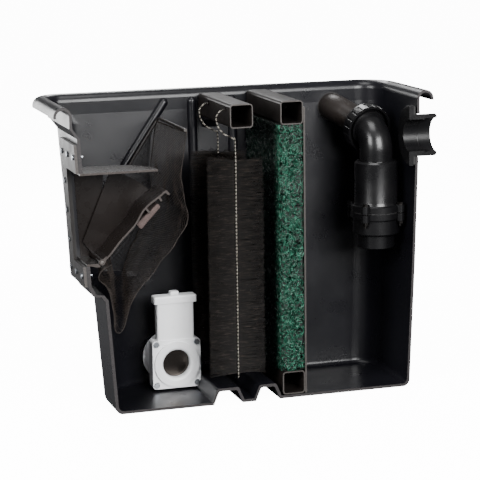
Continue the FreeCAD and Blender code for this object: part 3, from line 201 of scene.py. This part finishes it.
def metal(name, dark, light, rough, stretch=(1, 1, 1), scale=500):
    """Bare metal with a fine grain, drawn out along one axis where stretch says so."""
    s = Shader(name)
    grain = s.stretched_noise(stretch, scale, 4.0)
    s.bump(grain, 0.00003)
    return s.give(
        Base_Color=s.ramp(grain, [(0.3, dark), (0.7, light)]), Metallic=1.0,
        Roughness=s.span(grain, rough[0], rough[1], 0.3, 0.7))


GROOVE_PITCH = 0.0062


def wire_material():
    """Galvanised twisted wire with painted shade in the grooves between its turns."""
    s = Shader("wire_galvanised")
    # Painted shade: a near-black band at each groove, one every GROOVE_PITCH up the wire.
    turn = s.math("SINE", s.math("MULTIPLY", s.along("Z"), 2 * math.pi / GROOVE_PITCH), 0.0)
    unshaded_share = s.span(turn, 0.0, 1.0, -0.75, 0.35)
    bright = s.ramp(s.noise(500, 3), [(0.3, (0.20, 0.185, 0.155)), (0.7, (0.40, 0.375, 0.33))])
    return s.give(
        Base_Color=s.mix(unshaded_share, paint((0.016, 0.013, 0.011)), bright), Metallic=0.85,
        Roughness=s.span(s.noise(300, 2), 0.34, 0.52, 0.3, 0.7))


def foam_material():
    """Open-celled brown foam, darker in the pits of its cells as painted shade."""
    s = Shader("foam_brown")
    cells = s.node("ShaderNodeTexVoronoi", Vector=s.place, Scale=700.0).outputs["Distance"]
    s.bump(cells, 0.0004)
    # Painted shade: the colour darkens towards each cell's centre, where the bump sinks into a pit.
    return s.give(
        Base_Color=s.ramp(cells, [(0.05, (0.030, 0.020, 0.018)), (0.6, (0.085, 0.060, 0.055))]),
        Roughness=0.9)


def fibre_material(name, stops, rough, scale, shine=0.5, stretch=(1, 1, 1)):
    """Thin strands whose colour changes from one to the next."""
    s = Shader(name)
    tint = s.stretched_noise(stretch, scale, 5.0, 0.7)
    return s.give(
        Base_Color=s.ramp(tint, stops),
        Roughness=s.span(s.noise(scale * 0.6, 2), rough[0], rough[1], 0.3, 0.7),
        Specular_IOR_Level=shine)


def mat_material():
    """Green coils, darkened by painted shade further in from the cut face."""
    s = Shader("mat_green")
    # The palest stop is partly painted highlight on the coils; the rest of the ramp is their own
    # green, varied at random.
    cut_face_green = s.ramp(s.noise(170, 5, 0.7), [
        (0.30, (0.002, 0.020, 0.011)), (0.52, (0.006, 0.062, 0.034)),
        (0.72, (0.055, 0.24, 0.155))])
    # Painted shade: a near-black copy of the green, for the shade deeper in the mat.
    painted_shade_green = s.ramp(s.noise(170, 5, 0.7), [
        (0.35, (0.0005, 0.0034, 0.002)), (0.60, (0.0014, 0.0105, 0.006)),
        (0.80, (0.006, 0.036, 0.022))])
    # How much painted shade: none at the cut face, all of it 30 mm in.
    inward = s.span(s.along("Y"), 0.0, 1.0, CUT + 0.004, CUT + 0.030)
    return s.give(
        Base_Color=s.mix(inward, cut_face_green, painted_shade_green),
        Roughness=s.span(s.noise(100, 2), 0.22, 0.42, 0.3, 0.7))


def make_materials():
    return {
        "shell": shell_material(),
        "frame": moulded("frame_black", (0.0065, 0.0052, 0.0048), (0.013, 0.0105, 0.0096),
                         (0.28, 0.42), cut=((0.040, 0.036, 0.033), (0.072, 0.065, 0.061)),
                         shine=0.24),
        "fitting": moulded("fitting_black", (0.0022, 0.0022, 0.0026), (0.0050, 0.0048, 0.0052),
                           (0.24, 0.36), 1200, 0.00003, 0.1, shine=0.36),
        "pipe": moulded("pipe_black", (0.011, 0.0085, 0.0075), (0.022, 0.018, 0.016), (0.38, 0.50),
                        700, 0.00005, 0.0, (0.08, 0.065, 0.055), shine=0.22),
        "throat": moulded("throat_brown", (0.0055, 0.0042, 0.0037), (0.0105, 0.0082, 0.0074),
                          (0.22, 0.32), 500, 0.00005, 0.0, shine=0.17,
                          cut=((0.040, 0.034, 0.032), (0.065, 0.057, 0.053))),
        "pvc": moulded("pvc_white", (0.86, 0.87, 0.89), (0.94, 0.945, 0.95), (0.30, 0.42),
                       700, 0.00004, 0.1, (0.55, 0.55, 0.56)),
        "plate": moulded("plate_black", (0.0085, 0.0074, 0.0070), (0.0170, 0.0150, 0.0142),
                         (0.30, 0.44), cut=((0.050, 0.045, 0.042), (0.085, 0.077, 0.073)),
                         shine=0.26),
        "rubber": moulded("rubber_black", (0.008, 0.008, 0.008), (0.018, 0.017, 0.017),
                          (0.70, 0.85), 900, 0.00008),
        "seal": moulded("seal_grey", (0.30, 0.28, 0.26), (0.42, 0.40, 0.37), (0.40, 0.55)),
        "steel": metal("steel_brushed", (0.34, 0.31, 0.29), (0.50, 0.46, 0.43), (0.16, 0.30),
                       (1, 1, 12), 260),
        # Painted shade: a near-black copy of the steel, for the blade in the dark of the valve
        # bore, where it reflects only darkness.
        "blade": metal("steel_shaded", (0.050, 0.043, 0.038), (0.085, 0.074, 0.066), (0.10, 0.20),
                       (1, 1, 12), 260),
        "wire": wire_material(),
        "fixing": metal("fixing_steel", (0.26, 0.28, 0.30), (0.42, 0.44, 0.47), (0.3, 0.45)),
        "dark_fixing": metal("fixing_black", (0.012, 0.011, 0.011), (0.045, 0.042, 0.040),
                             (0.25, 0.40)),
        "foam": foam_material(),
        "net": fibre_material("net_black", [
            (0.32, (0.0030, 0.0024, 0.0021)), (0.72, (0.036, 0.028, 0.024))],
            (0.45, 0.65), 90, 0.2),
        "bristle": fibre_material("bristle_dark", [
            (0.40, (0.0010, 0.0008, 0.0007)), (0.56, (0.0048, 0.0037, 0.0030)),
            (0.72, (0.034, 0.026, 0.021))], (0.40, 0.60), 620, 0.10, (0.10, 0.10, 1.0)),
        "mat": mat_material(),
        # Painted shade: the mat's core is near-black, for the shade deep inside the tangle.
        "mat_core": fibre_material("mat_core", [
            (0.4, (0.0003, 0.0022, 0.0013)), (0.7, (0.001, 0.0070, 0.0042))], (0.6, 0.8), 140),
    }


CAD_PAINT = {
    "tank_shell": "shell", "mouth_face_plate": "plate", "face_plate_gasket": "rubber",
    "face_plate_screws": "fixing", "mouth_throat": "throat", "weir_door": "throat",
    "weir_hinge_pin": "steel", "net_frame": "frame", "brush_rack_tube": "frame",
    "mat_frame_top_tube": "frame", "mat_frame_bottom_tube": "frame",
    "mat_backing_panel": "frame", "panel_rivets": "frame", "outlet_pipe": "pipe",
    "outlet_wall_seal": "rubber", "union_nut": "fitting", "union_tail": "fitting",
    "outlet_elbow": "fitting", "check_valve_upper_body": "fitting",
    "check_valve_lower_body": "fitting", "check_valve_gasket": "rubber",
    "pump_socket": "fitting", "check_valve_flap": "fitting", "flap_pin": "steel",
    "clamp_bolts": "dark_fixing", "clamp_nuts": "dark_fixing", "overflow_bulkhead": "fitting",
    "overflow_gasket": "rubber", "drain_valve_front_body": "pvc",
    "drain_valve_rear_body": "pvc", "drain_valve_bonnet": "pvc", "bonnet_cap": "pvc",
    "gate_blade": "blade", "gate_stem": "steel", "gate_grip": "pvc", "gate_seals": "seal",
    "drain_valve_bolts": "fixing", "drain_valve_nuts": "fixing", "drain_bulkhead": "pvc",
    "drain_gasket": "rubber", "drain_nut": "pvc",
}


OWN_SHADING = ("shell", "plate", "throat")
SHARP_FROM = math.radians(29)


def paint_cad(materials):
    """Gives each CAD node that stays its material.

    The big mouldings keep their own normals. The rest are shaded smooth and split at sharp edges.
    """
    for name, key in CAD_PAINT.items():
        data = nodes[name].data
        data.materials.clear()
        data.materials.append(materials[key])
        if key in OWN_SHADING:
            continue
        if "custom_normal" in data.attributes:
            data.attributes.remove(data.attributes["custom_normal"])
        data.shade_smooth()
        for edge in data.edges:
            edge.use_edge_sharp = False
        weld = nodes[name].modifiers.new("weld", "WELD")
        weld.merge_threshold = 0.00001
        split = nodes[name].modifiers.new("sharp", "EDGE_SPLIT")
        split.split_angle = SHARP_FROM
        split.use_edge_sharp = False


# ---------------------------------------------------------------- mesh helpers

def add_piece(name, mesh, body, material, replaces=()):
    """Puts a mesh in the scene as a piece that rides on a body."""
    piece = bpy.data.objects.new(name, mesh)
    bpy.context.scene.collection.objects.link(piece)
    mesh.materials.append(material)
    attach(piece, body)
    if replaces:
        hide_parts(*replaces)
    return piece


def mesh_from(name, corners, faces, smooth=True):
    mesh = bpy.data.meshes.new(name)
    mesh.from_pydata(corners, [], faces)
    mesh.validate()
    if smooth:
        mesh.shade_smooth()
    return mesh


def smooth_path(points, steps):
    """A Catmull-Rom curve through points, as Vectors."""
    line = []
    count = len(points)
    for index in range(count - 1):
        before = points[max(index - 1, 0)]
        start, end = points[index], points[index + 1]
        after = points[min(index + 2, count - 1)]
        for step in range(steps):
            t = step / steps
            line.append(0.5 * (
                2 * start + (end - before) * t
                + (2 * before - 5 * start + 4 * end - after) * t * t
                + (3 * start - before - 3 * end + after) * t ** 3))
    line.append(points[-1].copy())
    return line


def lengths_along(line):
    """The distance from a line's start to each of its points."""
    lengths = [0.0]
    for first, second in zip(line, line[1:]):
        lengths.append(lengths[-1] + (second - first).length)
    return lengths


def path_frames(line):
    """Each point of a line with two directions across it, without twist."""
    frames = []
    side = None
    for index, point in enumerate(line):
        tangent = (line[min(index + 1, len(line) - 1)] - line[max(index - 1, 0)]).normalized()
        if side is None:
            side = tangent.orthogonal().normalized()
        side = (side - tangent * side.dot(tangent)).normalized()
        frames.append((point, side, tangent.cross(side)))
    return frames


def tube(corners, faces, line, radius, sides):
    """Adds a closed tube along a line to lists of corners and faces."""
    start = len(corners)
    rings = path_frames(line)
    for point, across, up in rings:
        for side in range(sides):
            angle = math.tau * side / sides
            corners.append(point + (across * math.cos(angle) + up * math.sin(angle)) * radius)
    for ring in range(len(rings) - 1):
        for side in range(sides):
            a = start + ring * sides + side
            b = start + ring * sides + (side + 1) % sides
            faces.append((a, b, b + sides, a + sides))
    faces.append(tuple(start + side for side in reversed(range(sides))))
    last = start + (len(rings) - 1) * sides
    faces.append(tuple(last + side for side in range(sides)))


# ---------------------------------------------------------------- brushes

BRUSH_X = -28 * MM
WIRE_STEP = 0.0016
WIRE_PITCH = 10.5 * MM
STRAND, STRAND_REACH = 0.62 * MM, 0.84 * MM


def twisted_wire(name, body, node, material):
    """Two strands wound round each other along the hook's route."""
    low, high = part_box(node)
    x = BRUSH_X
    depth = low.y + WIRE_RADIUS
    hole = high.y - WIRE_RADIUS
    foot_z, top_z = low.z, high.z - WIRE_RADIUS
    route = [
        Vector((x, depth, foot_z)), Vector((x, depth, 0.30)), Vector((x, depth, 0.440)),
        Vector((x - 0.003, depth + 0.001, 0.4535)),
        Vector((x - 0.016, depth + (hole - depth) * 0.35, 0.461)),
        Vector((x - 0.025, depth + (hole - depth) * 0.62, 0.473)),
        Vector((x - 0.0265, depth + (hole - depth) * 0.85, 0.489)),
        Vector((x - 0.0165, hole, top_z - 0.0005)), Vector((x - 0.009, hole, top_z)),
        Vector((x + 0.003, hole, top_z))]
    line = smooth_path(route, 14)
    dense = resample(line, lengths_along(line), WIRE_STEP)
    corners, faces = [], []
    for phase in (0, math.pi):
        helix = []
        for index, (point, across, up) in enumerate(path_frames(dense)):
            turn = phase + math.tau * index * WIRE_STEP / WIRE_PITCH
            helix.append(point + (across * math.cos(turn) + up * math.sin(turn)) * STRAND_REACH)
        tube(corners, faces, helix, STRAND, 6)
    add_piece(name, mesh_from(name, corners, faces), body, material, [node])


def resample(line, lengths, step, count=None):
    """The same line with points a fixed distance apart."""
    count = count or int(lengths[-1] / step)
    result = []
    at = 0
    for index in range(count + 1):
        want = index * step
        while lengths[at + 1] < want:
            at += 1
        share = (want - lengths[at]) / (lengths[at + 1] - lengths[at])
        result.append(line[at].lerp(line[at + 1], share))
    return result


BRISTLE_END = 0.004
BRISTLE_ROOT = 0.0018
BRISTLE_SIZES = (0.00042, 0.00036, 0.00016)


def bristles(name, body, node, count, whole, material):
    """Thousands of fine bristles set in the wire's twist, each a tapered three-sided needle."""
    low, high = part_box(node)
    middle_x = (low.x + high.x) / 2
    axis_y = (low.y + high.y) / 2 if whole else low.y + WIRE_RADIUS
    reach = (high.x - low.x) / 2
    corners, faces = [], []
    dice = random.Random(name)
    valve_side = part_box("drain_valve_front_body")[1].x + 0.0010
    valve_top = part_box("bonnet_cap")[1].z + 0.008
    for index in range(count):
        share = (index + dice.random()) / count
        height = low.z + BRISTLE_END + (high.z - low.z - 2 * BRISTLE_END) * share
        turn = dice.uniform(0, math.tau)
        if not whole:
            turn = dice.uniform(0, math.pi)
            if dice.random() < 0.35:
                turn = dice.choice((dice.uniform(0.0, 0.12), math.pi - dice.uniform(0.0, 0.12)))
        out = Vector((math.cos(turn), math.sin(turn), 0))
        lift = dice.gauss(0, 0.0035)
        length = reach * dice.uniform(0.93, 1.0)
        if dice.random() < 0.06:
            lift += dice.gauss(0, 0.010)
        side = Vector((-out.y, out.x, 0)) * dice.gauss(0, 0.0035)
        start = Vector((middle_x, axis_y, height)) + out * BRISTLE_ROOT
        bend = start + out * length * 0.55 + UPWARD * lift * 0.35 + side * 0.3
        end = start + out * (length - BRISTLE_ROOT) + UPWARD * lift + side
        end.z = min(max(end.z, low.z), high.z)
        if not whole and end.y < low.y:
            end.y = low.y + 0.0002
        if whole and height < valve_top:
            bend.x = max(bend.x, valve_side)
            end.x = max(end.x, valve_side)
        needle(corners, faces, (start, bend, end), BRISTLE_SIZES)
    mesh = mesh_from(name, corners, faces, False)
    add_piece(name, mesh, body, material, [node])


def needle(corners, faces, line, sizes):
    """Adds one three-sided tapered needle."""
    start = len(corners)
    across = (line[-1] - line[0]).cross(UPWARD).normalized()
    for point, size in zip(line, sizes):
        corners.append(point + UPWARD * size)
        corners.append(point - UPWARD * size * 0.6 + across * size)
        corners.append(point - UPWARD * size * 0.6 - across * size)
    for ring in range(len(line) - 1):
        base = start + ring * 3
        for side in range(3):
            other = (side + 1) % 3
            faces.append((base + side, base + other, base + other + 3, base + side + 3))
    last = start + (len(line) - 1) * 3
    faces.append((start + 2, start + 1, start))
    faces.append((last, last + 1, last + 2))


# ---------------------------------------------------------------- filter mat

COIL_STEPS = 8
COIL_RADII = (0.0035, 0.0085)
COIL_SWEEPS = (math.pi * 0.7, math.pi * 1.6)
COIL_THICKNESSES = (0.00044, 0.00074)
MAT_EDGE = 0.003
PANEL_GAP = 0.0004
CORE_GAP = 0.0042


def coil(corners, faces, middle, normal, dice):
    """One curl of the mat's fibre: an open arc that wanders out of its plane."""
    across = normal.orthogonal().normalized()
    across.rotate(Matrix.Rotation(dice.uniform(0, math.tau), 3, normal))
    up = normal.cross(across)
    tilt = dice.gauss(0, 0.45)
    up = (up * math.cos(tilt) + normal * math.sin(tilt)).normalized()
    radius = dice.uniform(*COIL_RADII)
    sweep = dice.uniform(*COIL_SWEEPS)
    line = []
    for step in range(COIL_STEPS + 1):
        turn = sweep * step / COIL_STEPS
        grow = radius * (1 + 0.5 * step / COIL_STEPS)
        line.append(middle + (across * math.cos(turn) + up * math.sin(turn)) * grow)
    tube(corners, faces, line, dice.uniform(*COIL_THICKNESSES), 4)


def mat_back(height, low, high):
    """The mat's far edge follows the back wall's taper."""
    share = (height - low.z) / (high.z - low.z)
    return MAT_FOOT + (high.y - MAT_FOOT) * share


def filter_mat(materials):
    """A core coloured near-black as painted shade, under a random tangle of green coils."""
    low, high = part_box("filter_mat")
    dice = random.Random(5)
    corners, faces = [], []
    plan = ((Vector((0, -1, 0)), 1000), (Vector((-1, 0, 0)), 2900), (Vector((0, 1, 0)), 250))
    for normal, count in plan:
        for _ in range(count):
            height = dice.uniform(low.z + MAT_EDGE, high.z - MAT_EDGE)
            back = mat_back(height, low, high)
            spot = Vector((
                dice.uniform(low.x + MAT_EDGE, high.x - MAT_EDGE),
                dice.uniform(low.y + MAT_EDGE, back - MAT_EDGE), height))
            sunk = 0.0012 + abs(dice.gauss(0, 0.0022))
            if normal.y < 0:
                spot.y = low.y + sunk
            elif normal.y > 0:
                spot.y = back - sunk
            else:
                spot.x = low.x + sunk
            coil(corners, faces, spot, normal, dice)
    for corner in corners:
        corner.x = min(max(corner.x, low.x), high.x - PANEL_GAP)
        corner.z = min(max(corner.z, low.z), high.z)
        corner.y = min(max(corner.y, low.y), mat_back(corner.z, low, high))
    add_piece("mat_coils", mesh_from("mat_coils", corners, faces), "mat_frame",
              materials["mat"], ["filter_mat"])
    # The core carries painted shade: its material is near-black.
    core = mat_core(low, high)
    add_piece("mat_core", core, "mat_frame", materials["mat_core"])


def mat_core(low, high):
    """The inside of the mat, with a lumpy surface."""
    columns, rows = 12, 90
    mesh = bmesh.new()
    left, right, near = low.x + CORE_GAP, high.x - PANEL_GAP, low.y + CORE_GAP
    back_low = mat_back(low.z, low, high) - CORE_GAP
    back_high = mat_back(high.z, low, high) - CORE_GAP
    layers = []
    for row in range(rows + 1):
        share = row / rows
        height = low.z + (high.z - low.z) * share
        back = back_low + (back_high - back_low) * share
        ring = [(left, near), (right, near), (right, back), (left, back)]
        loop = []
        for side in range(4):
            x0, y0 = ring[side]
            x1, y1 = ring[(side + 1) % 4]
            for step in range(columns):
                t = step / columns
                loop.append(mesh.verts.new((x0 + (x1 - x0) * t, y0 + (y1 - y0) * t, height)))
        layers.append(loop)
    count = columns * 4
    for row in range(rows):
        for step in range(count):
            after = (step + 1) % count
            mesh.faces.new((layers[row][step], layers[row][after], layers[row + 1][after],
                            layers[row + 1][step]))
    mesh.faces.new(list(reversed(layers[0])))
    mesh.faces.new(layers[-1])
    middle = (low + high) / 2
    for vertex in mesh.verts:
        wobble = noise.noise(vertex.co * 130) * 0.002
        vertex.co.x += wobble if vertex.co.x < middle.x else 0
        vertex.co.y += wobble
    data = bpy.data.meshes.new("mat_core")
    mesh.to_mesh(data)
    mesh.free()
    data.shade_smooth()
    return data


# ---------------------------------------------------------------- net

NEAR_OUTLINE = [
    (-111, 471), (-116, 440), (-121, 400), (-118, 365), (-111, 334), (-120, 302), (-152, 262),
    (-184, 224), (-212, 190), (-227, 146), (-241, 144), (-246, 190), (-258, 216), (-268, 232),
    (-262, 247), (-246, 255)]
FAR_OUTLINE = [
    (-116, 469), (-121, 440), (-126, 402), (-126, 366), (-125, 336), (-132, 306), (-150, 274),
    (-166, 246), (-178, 222), (-186, 200), (-198, 202), (-206, 224), (-216, 246), (-224, 264),
    (-226, 284), (-226, 298)]


NET_COLUMNS, NET_ROWS = 176, 42
NET_MIDDLE = Vector((-0.170, 0, 0.300))
NET_MARGIN = 0.0008
NET_STRAND = 0.0008
FAR_STEP = 0.0042
FAR_ROWS, FAR_COLUMNS = range(30, 119), range(-60, -23)


def diamonds(faces, index_of, rows, columns):
    """A face in each diamond between knots, where at least three of its corners exist."""
    for row in rows:
        for column in columns:
            if (row + column) % 2 == 1:
                around = [
                    (row - 1, column), (row, column + 1), (row + 1, column), (row, column - 1)]
                cell = [index_of[spot] for spot in around if spot in index_of]
                if len(cell) >= 3:
                    faces.append(tuple(cell))


def net_outline(share, count):
    """The bag's outline at a depth share, as evenly spaced points."""
    points = []
    for (near_x, near_z), (far_x, far_z) in zip(NEAR_OUTLINE, FAR_OUTLINE):
        points.append(Vector((
            (near_x + (far_x - near_x) * share) * MM, 0, (near_z + (far_z - near_z) * share) * MM)))
    line = smooth_path(points, 6)
    lengths = lengths_along(line)
    return resample(line, lengths, lengths[-1] / (count + 0.001), count)


def net_bag(materials):
    """A knotted mesh bag: diamond cells over a sagging surface with folds."""
    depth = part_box("net_bag")[1].y - CUT
    columns, rows = NET_COLUMNS, NET_ROWS
    lines = []
    for row in range(rows + 1):
        share = row / rows
        outline = net_outline(share, columns)
        points = []
        for column, point in enumerate(outline):
            inward = (NET_MIDDLE - point).normalized()
            fold = math.sin(column * 0.33 + 2.2 * math.sin(share * 5)) * 0.0016
            fold += noise.noise(Vector((column * 0.035, share * 6, 3))) * 0.005
            edge = min(column, columns - column, 12) / 12
            spot = point + inward * (0.002 + max(fold, -0.0015) * edge)
            spot.y = CUT + NET_MARGIN + (depth - 2 * NET_MARGIN) * share
            points.append(spot)
        lines.append(points)
    corners, faces = [], []
    index_of = {}
    for row in range(rows + 1):
        for column in range(columns + 1):
            if (row + column) % 2 == 0:
                index_of[(row, column)] = len(corners)
                corners.append(lines[row][column])
    diamonds(faces, index_of, range(rows + 1), range(columns + 1))
    far_panel(corners, faces, lines[-1])
    mesh = mesh_from("net_bag_mesh", corners, faces, False)
    bag = add_piece("net_mesh", mesh, "tank", materials["net"], ["net_bag"])
    wire = bag.modifiers.new("strands", "WIREFRAME")
    wire.thickness = NET_STRAND
    wire.use_even_offset = False
    wire.offset = 0
    hems = hem_cords(lines, materials)


def far_panel(corners, faces, outline):
    """The bag's far end: diamonds on a slightly bulging flat, inside the last outline."""
    triangles = tessellate_polygon([outline])
    flat = [Vector((point.x, point.z)) for point in outline]

    def is_inside(x, z):
        spot = Vector((x, z))
        for a, b, c in triangles:
            if intersect_point_tri_2d(spot, flat[a], flat[b], flat[c]):
                return True
        return False

    far = outline[0].y
    spots = {}
    for row in FAR_ROWS:
        for column in FAR_COLUMNS:
            x, z = column * FAR_STEP, row * FAR_STEP
            if (row + column) % 2 == 0 and is_inside(x, z):
                sag = noise.noise(Vector((x * 25, z * 25, 7))) * 0.004
                spots[(row, column)] = len(corners)
                corners.append(Vector((x, far - 0.0005 - abs(sag), z)))
    diamonds(faces, spots, range(FAR_ROWS.start - 1, FAR_ROWS.stop + 1),
             range(FAR_COLUMNS.start - 1, FAR_COLUMNS.stop + 1))


def hem_cords(lines, materials):
    """Bound edges of the bag: at the cut, along the mouth and round the far end."""
    corners, faces = [], []
    mouth_top = [line[0] for line in lines]
    mouth_low = [line[-1] for line in lines]
    for line, radius in ((lines[0], 0.0009), (lines[-1], 0.0011), (mouth_top, 0.0014),
                         (mouth_low, 0.0012)):
        tube(corners, faces, line, radius, 5)
    return add_piece("net_hems", mesh_from("net_hems", corners, faces), "tank",
                     materials["net"])


# ---------------------------------------------------------------- float

def weir_float(materials):
    """A foam block, soft at its edges."""
    mesh = nodes["weir_float"].data.copy()
    mesh.name = "foam_float"
    mesh.materials.clear()
    piece = add_piece("foam_float", mesh, "weir", materials["foam"], ["weir_float"])
    remesh = piece.modifiers.new("even", "REMESH")
    remesh.mode = "VOXEL"
    remesh.voxel_size = 0.0016
    soften = piece.modifiers.new("soften", "SMOOTH")
    soften.iterations = 5


# ---------------------------------------------------------------- studio

# name, place, target, size and power
LIGHTS = (
    ("key", (-2.4, -1.5, 1.5), (0, 0, 0.28), 1.2, 98),
    ("front", (0.5, -3.0, 1.5), (0, 0, 0.2), 1.6, 205),
    ("top", (-0.2, -0.5, 2.3), (0, 0, 0.4), 1.0, 24),
    ("rim", (-1.3, 2.3, 0.35), (-0.3, 0, 0.3), 1.5, 45),
    ("back", (0.3, 1.8, 1.9), (0, 0.1, 0.5), 0.8, 28),
)
FLOOR_GLOW = 13.0
WORLD_LIGHT, WORLD_SEEN = 0.20, 15.0


def studio():
    """Floor, surround and lights.

    Floor and surround look white to the camera's own rays only. To all other rays the floor is
    dark and the surround dim, so that neither washes out the black plastic.
    """
    mesh = mesh_from("floor", [(-9, -9, 0), (9, -9, 0), (9, 40, 0), (-9, 40, 0)], [(0, 1, 2, 3)])
    floor = bpy.data.objects.new("floor", mesh)
    bpy.context.scene.collection.objects.link(floor)
    s = Shader("floor_pale")
    glow = s.node("ShaderNodeLightPath").outputs["Is Camera Ray"]
    pale = s.ramp(s.noise(2, 2), [(0.3, (0.84, 0.84, 0.84)), (0.7, (0.86, 0.86, 0.86))])
    mesh.materials.append(s.give(
        Base_Color=s.mix(glow, paint((0.07, 0.07, 0.075)), pale), Roughness=0.9,
        Emission_Color=(1, 1, 1, 1), Emission_Strength=s.math("MULTIPLY", glow, FLOOR_GLOW)))
    world = bpy.data.worlds.new("studio")
    bpy.context.scene.world = world
    world.use_nodes = True
    nodes_in = world.node_tree.nodes
    seen = nodes_in.new("ShaderNodeLightPath").outputs["Is Camera Ray"]
    scale = nodes_in.new("ShaderNodeMapRange")
    scale.inputs["To Min"].default_value = WORLD_LIGHT
    scale.inputs["To Max"].default_value = WORLD_SEEN
    world.node_tree.links.new(seen, scale.inputs["Value"])
    world.node_tree.links.new(scale.outputs["Result"], nodes_in["Background"].inputs["Strength"])
    nodes_in["Background"].inputs["Color"].default_value = (1, 1, 1, 1)
    for light in LIGHTS:
        add_light(*light)


def add_light(name, place, target, size, power):
    """A square area light turned towards a target."""
    data = bpy.data.lights.new(name, "AREA")
    data.shape = "SQUARE"
    data.size = size
    data.energy = power
    light = bpy.data.objects.new(name, data)
    light.location = place
    light.rotation_euler = (Vector(target) - Vector(place)).to_track_quat("-Z", "Y").to_euler()
    bpy.context.scene.collection.objects.link(light)


# ---------------------------------------------------------------- everything

def build():
    set_camera()
    materials = make_materials()
    paint_cad(materials)
    twisted_wire("near_wire", "near_brush", "near_brush_wire", materials["wire"])
    twisted_wire("far_wire", "far_brush", "far_brush_wire", materials["wire"])
    bristles("near_bristles", "near_brush", "near_brush_bristles", 8500, False,
             materials["bristle"])
    bristles("far_bristles", "far_brush", "far_brush_bristles", 9500, True, materials["bristle"])
    filter_mat(materials)
    net_bag(materials)
    weir_float(materials)
    studio()


build()
